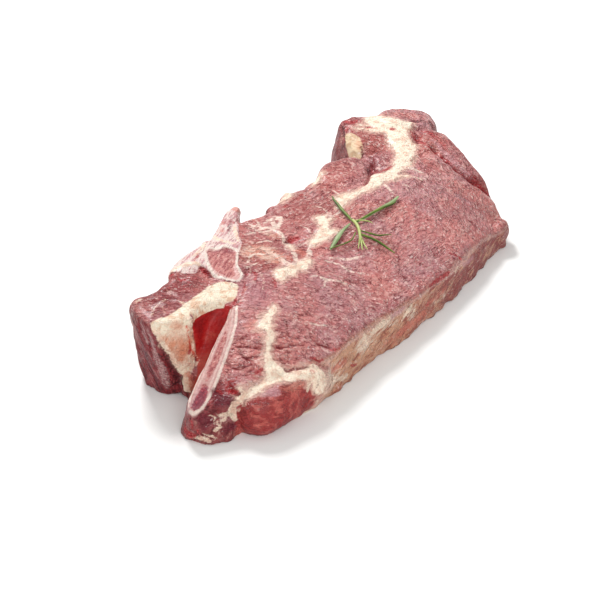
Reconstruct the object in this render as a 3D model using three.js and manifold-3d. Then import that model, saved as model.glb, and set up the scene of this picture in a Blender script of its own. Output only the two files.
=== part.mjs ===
// A thick slice of beef chuck on the bone, lying on one cut face, with a sprig of rosemary on it.
// Millimetres. X runs across the cut, Y along it to the far end, Z up. The slice rests on Z = 0.
import * as THREE from 'three';
import { mergeVertices } from 'three/addons/utils/BufferGeometryUtils.js';
import Module from 'manifold-3d';

const wasm = await Module();
wasm.setup();

const { clamp, lerp, smoothstep } = THREE.MathUtils;

// Upper cut face: its height over the bone side, and how it falls to the thin right edge
const FACE_HEIGHT = 50;
const FACE_FALL = 29;
const FALL_REACH = 74;
const FALL_POWER = 1.8;
// Near end: where the face starts to fall towards the rib tip, and by how much
const FRONT_START = -104;
const FRONT_LENGTH = 78;
const FRONT_DROP = 31;
const FRONT_POWER = 1.1;
// Middle of the slice in plan, which becomes the origin
const CENTRE_X = 1.86;
const CENTRE_Y = 2.04;
// Clearance between neighbouring pieces
const GAP = 0.3;
// How far the lobes reach below the resting plane before they are trimmed flat
const SPARE = 4;
// Least height of a lobe's edge, and height of a prism that clears the slice
const LEAST_HEIGHT = 2;
const CLEAR_HEIGHT = 200;
// How far fat and bone stand proud of the muscle
const FAT_SWELL = 1.1;
const BONE_SWELL = 1;
// Grid of a stalk or needle, and its girth at the tips as a share
const STRAND_SIDES = 5;
const STRAND_STEPS = 6;
const STRAND_TIP = 0.3;
// Depth of the sawn rib and of the shallow fat seams below the cut face
const RIB_DEPTH = 11;
const FAT_DEPTH = 9;
// Foot of the gristle plate beside the rib cavity, over the resting plane
const GRISTLE_FOOT = 6;

// Low waves of the muscle: height, turns per millimetre across and along, and shift
const WAVES = [
  { rise: 0.3, across: 0.17, along: 0.13, shift: 0.5 },
  { rise: 0.3, across: -0.15, along: 0.23, shift: 1.3 },
  { rise: 0.25, across: 0.31, along: 0.17, shift: 2.1 },
];
// Ripple of the side walls: height, and turn per station and up the wall
const RIPPLE = { rise: 0.5, around: 0.5, up: 9 };

// Broad swells and hollows of the cut face: centre, rise and reach each way
const SWELLS = [
  { x: -44, y: -95, rise: 6, rx: 24, ry: 46 },
  { x: -50, y: 140, rise: 5, rx: 34, ry: 30 },
  { x: 76, y: 122, rise: -10, rx: 26, ry: 34 },
  { x: 34, y: -118, rise: 3, rx: 18, ry: 26 },
];

// Bands on the cut face: centre lines with the half width at each point
const FAR_SEAM = {
  path: [[-42, 144], [-30, 143], [-18, 138], [-8, 124], [2, 106], [1, 90], [-2, 74], [-2, 60], [-9, 46]],
  widths: [3, 9, 11, 9, 7, 6.5, 6.5, 5.5, 2.5],
};
const MIDDLE_SEAM = {
  path: [[1, 22], [3, 8], [9, -4], [5, -15], [4, -27], [8, -40], [9, -52], [9, -66]],
  widths: [2.5, 7, 6.5, 3.5, 2.5, 3, 6, 3.5],
};
const FRONT_SEAM = {
  path: [[23, -92], [29, -110], [42, -130], [40, -146]],
  widths: [2.5, 4, 6, 4],
};
const SKIRT_FAT = {
  path: [[44, -130], [52, -126], [59, -119], [66, -111], [74, -106]],
  widths: [4, 6, 7, 7, 6],
};
const RIB = {
  path: [[5, -106], [12, -124], [16, -144], [19, -160], [21, -180]],
  widths: [3, 5.5, 6, 6, 5],
};

// Plan outline of the sawn backbone, with its spinous process running to the far left
const BACKBONE = [[-7, -83.5], [-8, -76], [-17, -68], [-25, -54], [-31, -44], [-46, -26], [-53, -13],
  [-57, -4], [-66, -7], [-66, -24], [-60, -44], [-57, -64], [-55, -92], [-52, -100], [-44, -100],
  [-37, -96], [-33, -88], [-26, -86], [-16, -87.5]];
// Ring of hard bone round the spongy face of the vertebra: middle, radii and width of its rim
const BONE_RING = { x: -27, y: -69, rx: 17, ry: 15, width: 0.22 };
// Plan outline of the gristle along the rib cavity
const GRISTLE = [[-1, -90], [2, -99], [-5, -104], [-10, -112], [-10, -124], [-8, -138], [-8, -153],
  [-25, -154], [-21, -136], [-19, -120], [-19, -104], [-15, -91]];
// Plan outline of the yellow neck ligament at the far left wall
const LIGAMENT = [[-31, 100], [-31, 106], [-35, 113], [-42, 118], [-49, 118], [-52, 113], [-45, 102], [-37, 96]];

// Furrows in the cut face: where muscles part, each with a half width and a depth
const FURROWS = [
  { path: [[8, 136], [20, 131], [29, 128], [41, 128], [57, 134]], width: 5, depth: 4.5 },
  { path: [[-22, 95], [-10, 84], [-6, 71], [-13, 58]], width: 3, depth: 3.5 },
  { path: [[-14, 146], [-8, 138], [-3, 135]], width: 4, depth: 4 },
  { path: [[4, -103], [-3, -88], [-8, -74], [-19, -58]], width: 3, depth: 2.5 },
  { path: [[-38, -99], [-30, -92], [-20, -91]], width: 3.5, depth: 3 },
  { path: [[-8, -26], [-3, -23]], width: 3.5, depth: 4 },
];

// Smooth plan curve through named points
function planCurve(points, closed = false) {
  const places = points.map(([x, y]) => new THREE.Vector3(x, y, 0));
  return new THREE.CatmullRomCurve3(places, closed, 'centripetal');
}

// Distance of a plan point from a line piece, and its share along it
function toSegment(x, y, a, b) {
  const dx = b.x - a.x;
  const dy = b.y - a.y;
  const t = clamp(((x - a.x) * dx + (y - a.y) * dy) / (dx * dx + dy * dy || 1), 0, 1);
  return { distance: Math.hypot(x - a.x - t * dx, y - a.y - t * dy), t };
}

// How far inside a band a plan point lies: 1 on its middle, 0 at its edge and beyond
function bandCover({ path, widths }, x, y) {
  let cover = 0;
  for (let i = 0; i + 1 < path.length; i += 1) {
    const a = new THREE.Vector2(...path[i]);
    const b = new THREE.Vector2(...path[i + 1]);
    const { distance, t } = toSegment(x, y, a, b);
    cover = Math.max(cover, 1 - distance / lerp(widths[i], widths[i + 1], t));
  }
  return cover;
}

// Closed plan outline of a band, widened by grow
function bandOutline({ path, widths }, grow = 0, pieces = 16) {
  const curve = planCurve(path);
  const left = [];
  const right = [];
  for (let i = 0; i <= pieces; i += 1) {
    const t = i / pieces;
    const at = curve.getPoint(t);
    const along = curve.getTangent(t);
    const place = Math.min(t * (widths.length - 1), widths.length - 1.001);
    const k = Math.floor(place);
    const half = lerp(widths[k], widths[k + 1], place - k) + grow;
    const ends = { 0: -grow, [pieces]: grow };
    const end = ends[i] ?? 0;
    left.push([at.x - along.y * half + along.x * end, at.y + along.x * half + along.y * end]);
    right.push([at.x + along.y * half + along.x * end, at.y - along.x * half + along.y * end]);
  }
  return [...right, ...left.reverse()];
}

// Closed plan outline through named points, moved outwards by grow
function ringOutline(points, grow = 0, pieces = 30) {
  const ring = planCurve(points, true).getSpacedPoints(pieces).slice(0, -1);
  const turn = THREE.ShapeUtils.area(ring) > 0 ? 1 : -1;
  return ring.map((p, i) => {
    const before = ring[(i + pieces - 1) % pieces];
    const after = ring[(i + 1) % pieces];
    const out = new THREE.Vector2(after.y - before.y, before.x - after.x).setLength(turn * grow);
    return [p.x + out.x, p.y + out.y];
  });
}

// Low relief of the cut face: soft waves of the muscle, fat and bone standing proud, and furrows
function relief(x, y) {
  const waves = WAVES.map((wave) => wave.rise * Math.sin(wave.across * x + wave.along * y + wave.shift));
  const seams = [FAR_SEAM, MIDDLE_SEAM, FRONT_SEAM, SKIRT_FAT];
  const fat = Math.max(...seams.map((seam) => bandCover(seam, x, y)));
  const rib = bandCover(RIB, x, y);
  const radius = Math.hypot((x - BONE_RING.x) / BONE_RING.rx, (y - BONE_RING.y) / BONE_RING.ry);
  const rim = Math.exp(-(((radius - 1) / BONE_RING.width) ** 2));
  const cuts = FURROWS.map(({ path, width, depth }) => {
    const widths = path.map(() => width);
    return depth * smoothstep(bandCover({ path, widths }, x, y), 0, 0.9);
  });
  const bone = smoothstep(rib, 0, 0.4) + rim;
  const swell = FAT_SWELL * smoothstep(fat, 0, 0.5) + BONE_SWELL * bone;
  return waves.reduce((sum, wave) => sum + wave) + swell - Math.max(...cuts);
}

// Height of the cut face over the resting plane
function faceHeight(x, y) {
  let z = FACE_HEIGHT - FACE_FALL * (Math.max(x, 0) / FALL_REACH) ** FALL_POWER;
  const front = Math.max(FRONT_START - y, 0) / FRONT_LENGTH;
  z -= FRONT_DROP * front ** FRONT_POWER * smoothstep(x, -14, 8);
  for (const { x: cx, y: cy, rise, rx, ry } of SWELLS) {
    z += rise * Math.exp(-(((x - cx) / rx) ** 2) - ((y - cy) / ry) ** 2);
  }
  return z + relief(x, y);
}

// A closed mesh made solid, with doubled points merged and flat scraps dropped
function solidOf(geometry) {
  const bare = geometry.clone();
  bare.deleteAttribute('normal');
  bare.deleteAttribute('uv');
  const merged = mergeVertices(bare, 1e-4);
  const corners = merged.index.array;
  const triVerts = [];
  for (let i = 0; i < corners.length; i += 3) {
    const [a, b, c] = corners.slice(i, i + 3);
    if (a !== b && b !== c && c !== a) triVerts.push(a, b, c);
  }
  return new wasm.Manifold(new wasm.Mesh({
    numProp: 3,
    vertProperties: new Float32Array(merged.attributes.position.array),
    triVerts: new Uint32Array(triVerts),
  }));
}

// A lobe of flesh: a tube's grid laid over sections from the right edge to the left edge of a closed
// plan outline, which starts at the near end and runs up the right side first. The rim is the radius
// of the upper edge, flare widens the foot, lean moves it, and belly swells the wall at half height.
function lobe({
  outline,
  top = faceHeight,
  rim = 6,
  flare = 0,
  lean = [0, 0],
  belly = 1.5,
  stations = 18,
  across = 8,
  rows = 3,
}) {
  const ring = planCurve(outline, true).getSpacedPoints(2 * stations).slice(0, -1);
  const count = ring.length;
  const normals = ring.map((p, i) => {
    const before = ring[(i + count - 1) % count];
    const after = ring[(i + 1) % count];
    return new THREE.Vector2(after.y - before.y, before.x - after.x).normalize();
  });
  const rimDrop = (x, y) => {
    const edge = Math.min(...ring.map((p, i) => toSegment(x, y, p, ring[(i + 1) % count]).distance));
    const inside = Math.max(rim - edge, 0);
    return rim - Math.sqrt(rim * rim - inside * inside);
  };
  const wallPoint = (i, share) => {
    const p = ring[i];
    const head = Math.max(top(p.x, p.y) - rim, LEAST_HEIGHT);
    const ripple = RIPPLE.rise * Math.sin(RIPPLE.around * i + RIPPLE.up * share);
    const out = flare * (1 - share) ** 1.5 + belly * Math.sin(Math.PI * share) + ripple;
    const x = p.x + normals[i].x * out + lean[0] * (1 - share);
    const y = p.y + normals[i].y * out + lean[1] * (1 - share);
    return new THREE.Vector3(x, y, share * (head + SPARE) - SPARE);
  };
  const size = 2 * rows + across + 1;
  const sectionPoint = (station, k) => {
    const right = station;
    const left = (count - station) % count;
    if (k <= rows) return wallPoint(right, k / rows);
    if (k >= rows + across) return wallPoint(left, (size - 1 - k) / rows);
    const share = 0.5 - 0.5 * Math.cos((Math.PI * (k - rows)) / across);
    const p = wallPoint(right, 1).lerp(wallPoint(left, 1), share);
    return p.setZ(Math.max(top(p.x, p.y) - rimDrop(p.x, p.y), LEAST_HEIGHT));
  };
  const grid = new THREE.CylinderGeometry(1, 1, 1, size, stations, true);
  const places = grid.attributes.position;
  for (let station = 0; station <= stations; station += 1) {
    for (let k = 0; k <= size; k += 1) {
      const p = sectionPoint(station, k % size);
      places.setXYZ(station * (size + 1) + k, p.x, p.y, p.z);
    }
  }
  return solidOf(grid);
}

// An upright prism over a plan outline, from a level or a height rule to far above the slice
function prism(outline, foot) {
  const shape = new THREE.Shape(outline.map(([x, y]) => new THREE.Vector2(x, y)));
  const geometry = new THREE.ExtrudeGeometry(shape, { depth: CLEAR_HEIGHT, bevelEnabled: false });
  const places = geometry.attributes.position;
  for (let i = 0; i < places.count; i += 1) {
    const low = typeof foot === 'number' ? foot : foot(places.getX(i), places.getY(i));
    if (places.getZ(i) < 1) places.setZ(i, low);
  }
  return solidOf(geometry);
}

// A rounded tag of fat or flesh
function tag([x, y, z], [rx, ry, rz], turn = 0) {
  const geometry = new THREE.SphereGeometry(1, 10, 6);
  geometry.scale(rx, ry, rz);
  geometry.rotateZ(turn);
  geometry.translate(x, y, z);
  return solidOf(geometry);
}

// A strand with an oval section along a path on the cut face, thinner towards its ends
function strand(path, { width, height, lift }) {
  const points = path.map(([x, y]) => new THREE.Vector3(x, y, faceHeight(x, y) + lift));
  const curve = new THREE.CatmullRomCurve3(points, false, 'centripetal');
  const grid = new THREE.CylinderGeometry(1, 1, 1, STRAND_SIDES, STRAND_STEPS);
  const places = grid.attributes.position;
  const up = new THREE.Vector3(0, 0, 1);
  for (let i = 0; i < places.count; i += 1) {
    const t = clamp(0.5 - places.getY(i), 0, 1);
    const along = curve.getTangent(t);
    const side = new THREE.Vector3().crossVectors(along, up).normalize();
    const rise = new THREE.Vector3().crossVectors(side, along);
    const girth = Math.max(STRAND_TIP, Math.min(1, 5 * t, 3 * (1 - t)) ** 0.5);
    const p = curve.getPoint(t);
    p.addScaledVector(side, -0.5 * width * girth * places.getX(i));
    p.addScaledVector(rise, 0.5 * height * girth * places.getZ(i));
    places.setXYZ(i, p.x, p.y, p.z);
  }
  return solidOf(grid);
}

// The solids of a list as one
const fuse = (solids) => solids.reduce((sum, solid) => sum.add(solid));

// The muscles, each a lobe
const LOBES = {
  slab: {
    outline: [[21, -177], [30, -167], [46, -144], [65, -98], [68, -50], [73, -10], [75, 35], [73, 90],
      [71, 123], [53, 136], [27, 147], [-2, 160], [-20, 136], [-22, 102], [-34, 88], [-41, 70],
      [-36, 48], [-43, 22], [-40, 1], [-46, -12], [-50, -32], [-50, -60], [-47, -97], [-24, -101],
      [1, -102], [6, -122], [11, -150], [15, -174]],
    rim: 4.5,
    belly: 1,
    stations: 59,
    across: 20,
    rows: 4,
  },
  neck: {
    outline: [[-24, -150], [-13, -136], [-9, -114], [0, -98], [-8, -82], [-30, -74], [-46, -84],
      [-48, -98], [-42, -108], [-42, -118], [-45, -129], [-50, -136], [-46, -142], [-37, -147]],
    lean: [6, 5],
    rim: 3.5,
    stations: 20,
    across: 10,
    rows: 4,
  },
  farLeft: {
    outline: [[-22, 90], [-8, 82], [3, 96], [4, 122], [-6, 150], [-28, 158], [-46, 152], [-60, 140],
      [-65, 132], [-57, 118], [-44, 110], [-33, 100]],
    top: (x, y) => faceHeight(x, y) - 9 * Math.exp(-(((x + 24) / 15) ** 2) - ((y - 97) / 15) ** 2),
    flare: 8,
    stations: 20,
    across: 11,
  },
  farFlap: {
    outline: [[-24, 136], [-12, 146], [-6, 160], [-11, 174], [-25, 180], [-40, 173], [-48, 156], [-42, 142]],
    top: (x, y) => faceHeight(x, y) + 2,
    rim: 9,
    belly: 2,
  },
  nearBlock: {
    outline: [[-20, 48], [-11, 58], [-7, 70], [-11, 82], [-22, 93], [-34, 90], [-42, 79], [-42, 68],
      [-36, 56]],
    top: (x, y) => faceHeight(x, y) + 1.6,
    rim: 5,
  },
  spine: {
    outline: [[-40, -66], [-31, -46], [-46, -26], [-53, -13], [-58, -7], [-63, -10], [-62, -20], [-55, -37],
      [-51, -50], [-50, -62]],
    rim: 3.5,
    stations: 14,
    across: 6,
  },
  skirt: {
    outline: [[46, -157], [57, -153], [62, -140], [65, -122], [69, -104], [64, -88], [52, -100], [44, -122],
      [37, -142], [37, -153]],
    top: (x, y) => 27 + relief(x, y) - 5 * smoothstep(-y, 135, 160),
    rim: 11,
    flare: -7,
    belly: 2,
    rows: 4,
  },
  ribEnd: {
    outline: [[24, -176], [33, -173], [39, -163], [38, -148], [26, -140], [12, -150], [10, -167], [14, -174]],
    top: (x, y) => 15 + relief(x, y) - 3 * smoothstep(-y, 160, 178),
    rim: 6,
  },
  cavityFloor: {
    outline: [[2, -146], [13, -142], [11, -114], [4, -99], [-10, -98], [-15, -114], [-15, -134], [-8, -141]],
    top: (x, y) => clamp(4 + 1.15 * (y + 142), 4, 48) + 0.035 * (x + 1) ** 2,
    rim: 2,
    belly: 0.5,
    stations: 14,
  },
};

// Loose tags along the chine side and under the cavity
const TAGS = [
  tag([-40, 24, 46], [5, 9, 4], 0.3),
  tag([-41, 8, 45], [4, 6, 4]),
  tag([-35, 46, 46], [4, 8, 3.5], 0.2),
  tag([-59, -7, 47.5], [3.5, 4, 3.5]),
  tag([71, 118, 10], [5, 10, 9], 0.2),
  tag([-7, -138, 7], [5, 6, 9]),
  tag([-9, -130, 46], [3.5, 4, 3.5]),
];

// The rosemary: stalks and needles through plan points, lifted over the cut face
const STALK = { width: 2.4, height: 2, lift: 2.4 };
const NEEDLE = { width: 2, height: 1.3, lift: 2.2 };
const STALKS = [
  [[14, 18], [21, 12], [26, 7], [31, 1], [35.5, -1.5]],
  [[25, 8], [29, 2], [34, -5]],
];
const NEEDLES = [
  [[16, 15], [9, 18.5], [2, 22.5], [-10, 33]],
  [[15.5, 15], [17, 25], [20, 40], [21.5, 53], [21.5, 65]],
  [[16.5, 15.5], [18.5, 26], [22.5, 39], [24.5, 50], [24, 60]],
  [[16, 16], [16, 6], [17, -2.5], [18, -12], [20, -20]],
  [[22, 11], [24.5, 0], [23, -11], [19, -21.5]],
  [[22.5, 10.5], [28, 10.5], [32.5, 14], [38.5, 26]],
  [[24, 8.5], [31, 9], [40, 8.5], [48.5, 11]],
];

// The slice before its inlays are cut out, trimmed flat at the resting plane
const room = new THREE.BoxGeometry(400, 600, CLEAR_HEIGHT).translate(0, 0, CLEAR_HEIGHT / 2);
const slice = fuse([...Object.values(LOBES).map(lobe), ...TAGS]).intersect(solidOf(room));

// Pieces carved out of the slice, each with its own outline, foot and finish
const below = (depth) => (x, y) => faceHeight(x, y) - depth;
const band = (shape) => (grow) => bandOutline(shape, grow);
const ring = (points) => (grow) => ringOutline(points, grow);
const BONE = { colour: 0xe4cec4, roughness: 0.45 };
const FAT = { colour: 0xeedfc4, roughness: 0.45 };
const SINEW = { colour: 0xe3c49a, roughness: 0.4 };
const INLAYS = [
  { name: 'rib_bone', outline: band(RIB), foot: below(RIB_DEPTH), finish: BONE },
  { name: 'backbone', outline: ring(BACKBONE), foot: -1, finish: BONE },
  { name: 'gristle', outline: ring(GRISTLE), foot: GRISTLE_FOOT, finish: SINEW },
  { name: 'neck_ligament', outline: ring(LIGAMENT), foot: GRISTLE_FOOT, finish: SINEW },
  { name: 'far_fat_seam', outline: band(FAR_SEAM), foot: -1, finish: FAT },
  { name: 'middle_fat_seam', outline: band(MIDDLE_SEAM), foot: -1, finish: FAT },
  { name: 'front_fat_seam', outline: band(FRONT_SEAM), foot: below(FAT_DEPTH), finish: FAT },
  { name: 'skirt_fat', outline: band(SKIRT_FAT), foot: below(FAT_DEPTH), finish: FAT },
];
const MUSCLE = { colour: 0xa8606a, roughness: 0.5 };
const ROSEMARY = { colour: 0x4e7040, roughness: 0.6 };

// A named mesh of a solid
function meshOf(name, solid, { colour, roughness }) {
  const { vertProperties, triVerts } = solid.getMesh();
  const geometry = new THREE.BufferGeometry();
  geometry.setAttribute('position', new THREE.BufferAttribute(new Float32Array(vertProperties), 3));
  geometry.setIndex(new THREE.BufferAttribute(new Uint32Array(triVerts), 1));
  geometry.computeVertexNormals();
  const material = new THREE.MeshStandardMaterial({ color: colour, roughness, metalness: 0 });
  const mesh = new THREE.Mesh(geometry, material);
  mesh.name = name;
  return mesh;
}

// The largest body of a solid, without loose scraps
function largest(solid) {
  return solid.decompose().reduce((best, part) => (part.volume() > best.volume() ? part : best));
}

const group = new THREE.Group();
group.position.set(-CENTRE_X, -CENTRE_Y, 0);

let flesh = slice;
for (const { name, outline, foot, finish } of INLAYS) {
  const level = typeof foot === 'number';
  const piece = flesh.intersect(prism(outline(0), level ? foot : (x, y) => foot(x, y) + GAP));
  flesh = flesh.subtract(prism(outline(GAP), level ? foot - GAP : foot));
  group.add(meshOf(name, largest(piece), finish));
}
group.add(meshOf('meat', largest(flesh), MUSCLE));

const sprig = fuse([
  ...STALKS.map((path) => strand(path, STALK)),
  ...NEEDLES.map((path) => strand(path, NEEDLE)),
]);
group.add(meshOf('rosemary_sprig', sprig, ROSEMARY));

export default group;
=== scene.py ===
# %% [markdown]
# # A thick slice of beef chuck on the bone, with rosemary
# The slice lies on one cut face. Its upper cut face shows a large muscle, three smaller ones, the
# creamy fat between them, the sawn backbone and a sawn rib. The solids already hold the outline,
# the falls of the face and the pieces of bone and fat, so this lesson adds what the eye reads as
# raw meat: grain, lumps of fat, membranes, wet gloss and the green of the sprig.

# %% Load the solids
import math

import bmesh
import bpy
import numpy as np
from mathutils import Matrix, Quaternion, Vector


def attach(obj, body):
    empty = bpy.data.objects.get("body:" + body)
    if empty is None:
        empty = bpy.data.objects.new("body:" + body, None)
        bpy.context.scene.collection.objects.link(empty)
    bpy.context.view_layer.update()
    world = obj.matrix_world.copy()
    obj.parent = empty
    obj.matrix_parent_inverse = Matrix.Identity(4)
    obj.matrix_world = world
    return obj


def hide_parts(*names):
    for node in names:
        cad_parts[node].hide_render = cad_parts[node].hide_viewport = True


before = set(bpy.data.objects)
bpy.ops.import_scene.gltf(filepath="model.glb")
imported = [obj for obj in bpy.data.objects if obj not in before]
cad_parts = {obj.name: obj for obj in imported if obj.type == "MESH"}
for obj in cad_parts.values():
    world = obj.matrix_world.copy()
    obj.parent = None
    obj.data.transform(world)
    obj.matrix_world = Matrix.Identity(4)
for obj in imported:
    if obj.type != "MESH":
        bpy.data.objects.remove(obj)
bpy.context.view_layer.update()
print("solids:", ", ".join(sorted(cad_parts)))

# %% [markdown]
# ## Drawing on the plan
# Everything on the cut face was measured in plan, in millimetres, like a pattern laid on the meat.
# A feature is a line of points with a half width at each, or a closed outline. Both could be cut
# into the mesh, but meat has no crisp edges there. It is simpler to work out for every point of
# the skin how deep it lies inside each feature. That one number then drives relief and colour.
# The plan's zero lies a little off the middle of the solids, so it is shifted by a fixed amount.

# %% Lines and outlines on the plan
PLAN_ZERO = np.array([1.86, 2.04])
FAR = 9.0  # millimetres outside a feature, where it no longer counts
TINY = 1e-9
CHANCES = 4096  # chance values in the table that bumps are drawn from
CELL_STEPS = (73856093, 19349663, 83492791)  # primes that spread the cells over that table


def traced(text):
    """The lines of a pattern: commas part the points, semicolons the lines."""
    return [[tuple(map(float, point.split())) for point in line.split(",")] for line in text.split(";")]


def bend(points, steps=6, closed=False):
    """A smooth line through the points of a pattern."""
    p = np.array(points, float)
    first, last = (p[-1], p[:2]) if closed else (2 * p[0] - p[1], 2 * p[-1] - p[-2])
    p = np.vstack([first, p, last])
    line = []
    for a, b, c, d in zip(p, p[1:], p[2:], p[3:]):
        for t in np.linspace(0, 1, steps, endpoint=False):
            pull = 2 * a - 5 * b + 4 * c - d + t * (3 * b - a - 3 * c + d)
            line.append(b + 0.5 * t * (c - a + t * pull))
    return np.array(line if closed else line + [p[-2]])


def off_line(places, a, b):
    """Distance of places from a straight piece of line, and their share along it."""
    axes = places.shape[1]
    step = b[:axes] - a[:axes]
    share = np.clip((places - a[:axes]) @ step / max(step @ step, TINY), 0, 1)
    return np.linalg.norm(places - a[:axes] - share[:, None] * step, axis=1), share


def band_depth(places, band):
    """How far inside a band, given as positions and half widths, each place lies."""
    line = bend(band)
    low, high = line[:, :-1].min(axis=0) - FAR, line[:, :-1].max(axis=0) + FAR
    near = np.flatnonzero(np.all((places > low) & (places < high), axis=1))
    depth = np.full(len(places), -FAR)
    for a, b in zip(line, line[1:]):
        far, share = off_line(places[near], a, b)
        depth[near] = np.maximum(depth[near], a[-1] + (b[-1] - a[-1]) * share - far)
    return depth


def outline_depth(plan, outline):
    """How far inside a closed outline each plan point lies."""
    line = bend(outline, closed=True)
    far = np.full(len(plan), np.inf)
    inside = np.zeros(len(plan), bool)
    for a, b in zip(line, np.roll(line, -1, axis=0)):
        far = np.minimum(far, off_line(plan, a, b)[0])
        level = (a[1] > plan[:, 1]) != (b[1] > plan[:, 1])
        rise = b[1] - a[1] if abs(b[1] - a[1]) > TINY else TINY
        inside ^= level & (plan[:, 0] < a[0] + (plan[:, 1] - a[1]) / rise * (b[0] - a[0]))
    return np.where(inside, far, -far)


def deepest(plan, bands, outlines=()):
    """The greatest depth inside any of several bands and outlines."""
    return np.max([band_depth(plan, b) for b in bands] + [outline_depth(plan, o) for o in outlines], axis=0)


def ease(x, low, high):
    """0 below low, 1 above high, and smooth between."""
    t = np.clip((x - low) / (high - low), 0, 1)
    return t * t * (3 - 2 * t)


def glow(plan, spots):
    """Soft round patches, each given as x, y, reach across, reach along and strength."""
    total = sum(s * np.exp(-((plan[:, 0] - x) / rx) ** 2 - ((plan[:, 1] - y) / ry) ** 2)
                for x, y, rx, ry, s in spots)
    return np.clip(total, 0, 1)


def lumps(points, size, seed):
    """Smooth chance values from -1 to 1, with bumps about that size."""
    table = np.random.default_rng(seed).uniform(-1, 1, CHANCES)
    scaled = points / np.array(size, float)
    cell = np.floor(scaled).astype(np.int64)
    t = scaled - cell
    t = t * t * (3 - 2 * t)
    total = np.zeros(len(points))
    for corner in np.ndindex(2, 2, 2):
        key = np.bitwise_xor.reduce((cell + corner) * CELL_STEPS, axis=1)
        total += table[key % CHANCES] * np.prod(np.where(corner, t, 1 - t), axis=1)
    return total


# %% [markdown]
# ## What lies where on the cut face
# Fat fills the seams between muscles. The far seam is a broad hook, the middle seam is a chain of
# three blobs that wrap a small pink gland, and the front seam runs down to a cap of fat over the
# skirt muscle. The broad parts are drawn as outlines, the narrow ones as bands.

# %% The pattern of fat
FAT_OUTLINES = traced("""
-48 137, -49 142, -48 147, -44 149, -39.5 147, -33.4 146, -27.4 147, -23.5 150, -19.2 152.6, -16 151.5,
-16.5 147, -15 141, -10.2 134, -6.6 133, -2 131, 1.7 122.3, 4.7 116, 6.7 109, 8.2 103, 6 98, 7 91,
7.5 84, 6 78.5, 5 72, 4.8 66, 3 60, 1.5 55, -0.5 49, -0.5 39, -0.5 32, -2 26, -4 29, -7 33, -12.5 37.5,
-10.5 43.8, -6.2 47, -3.6 54, -2.3 59, -3 66, -5.3 72, -7 77, -4 80.5, 0 82.5, 0.3 88.4, -0.5 94,
-3 101, -7.9 111, -13.6 117, -19.5 123, -23.4 127.5, -28.7 130.5, -34 130.5, -40 132, -44 134;
-9.5 8.4, -6.8 12.8, -4.3 16.2, -1.5 12, 0.5 14.3, 3.3 5.2, 7.6 1.1, 11.5 5, 13.9 3.3, 12.4 -1.6,
12.7 -7.2, 9.8 -14.2, 9.4 -20.8, 6.7 -21.4, 3.6 -18.6, 3.3 -12.4, 2.6 -5.4, -0.7 1.4, -5.5 6.3;
5.6 -62.4, 4.5 -57.6, 7.2 -55.4, 8.2 -51.3, 11.5 -47.5, 10.2 -42.6, 12 -35.6, 16.4 -35.6, 16.2 -40,
18.7 -43.5, 17.6 -48.2, 14.9 -51, 16.2 -55.9, 13.2 -59, 14.4 -62.5, 14.1 -67.4, 9.7 -66;
23.4 -90, 26 -90.5, 27.5 -93.4, 28.5 -99, 31 -104, 34.6 -109, 39 -117, 42.5 -123, 48.6 -123.5,
53 -122.8, 56.2 -118, 59.5 -112.6, 63 -108, 66 -105, 70 -104, 71 -109, 69 -114, 64.5 -118, 61.5 -123,
58.5 -128, 54.5 -132, 51.6 -136, 49.5 -141, 48 -146, 43 -150.5, 39 -153, 38 -151, 40.5 -147, 44 -141,
45.5 -136, 42.4 -131, 39.8 -127, 36 -120.5, 32.5 -115, 29.5 -113.5, 27 -114.7, 25.6 -111.4, 24.5 -105,
23.6 -97""")
FAT_BANDS = traced("""
-48 124.5 0.8, -44.4 125.8 1.2, -40 128 1.4, -36 129.5 1.6, -31 131 1.4;
-48 130 0.7, -43 132 1.1, -38 133 1; 12.5 91 1.2, 9 86.5 1.8, 6.5 82 1.8;
-44 33 1.6, -42 27 2.8, -39 23 2.4, -40 16 1.2; -36 60 1.4, -35 54 1.8, -34 47 1.2;
-4.1 -30.5 1.2, -1.6 -31 1.8, 0.6 -31.8 1; 45 -147 0.8, 47 -144 1.2, 50 -143 0.8;
37 -149 1.2, 39.6 -149.7 1.8, 38.8 -153.5 1.8""")
print(len(FAT_OUTLINES), "outlines and", len(FAT_BANDS), "bands of fat")
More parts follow.
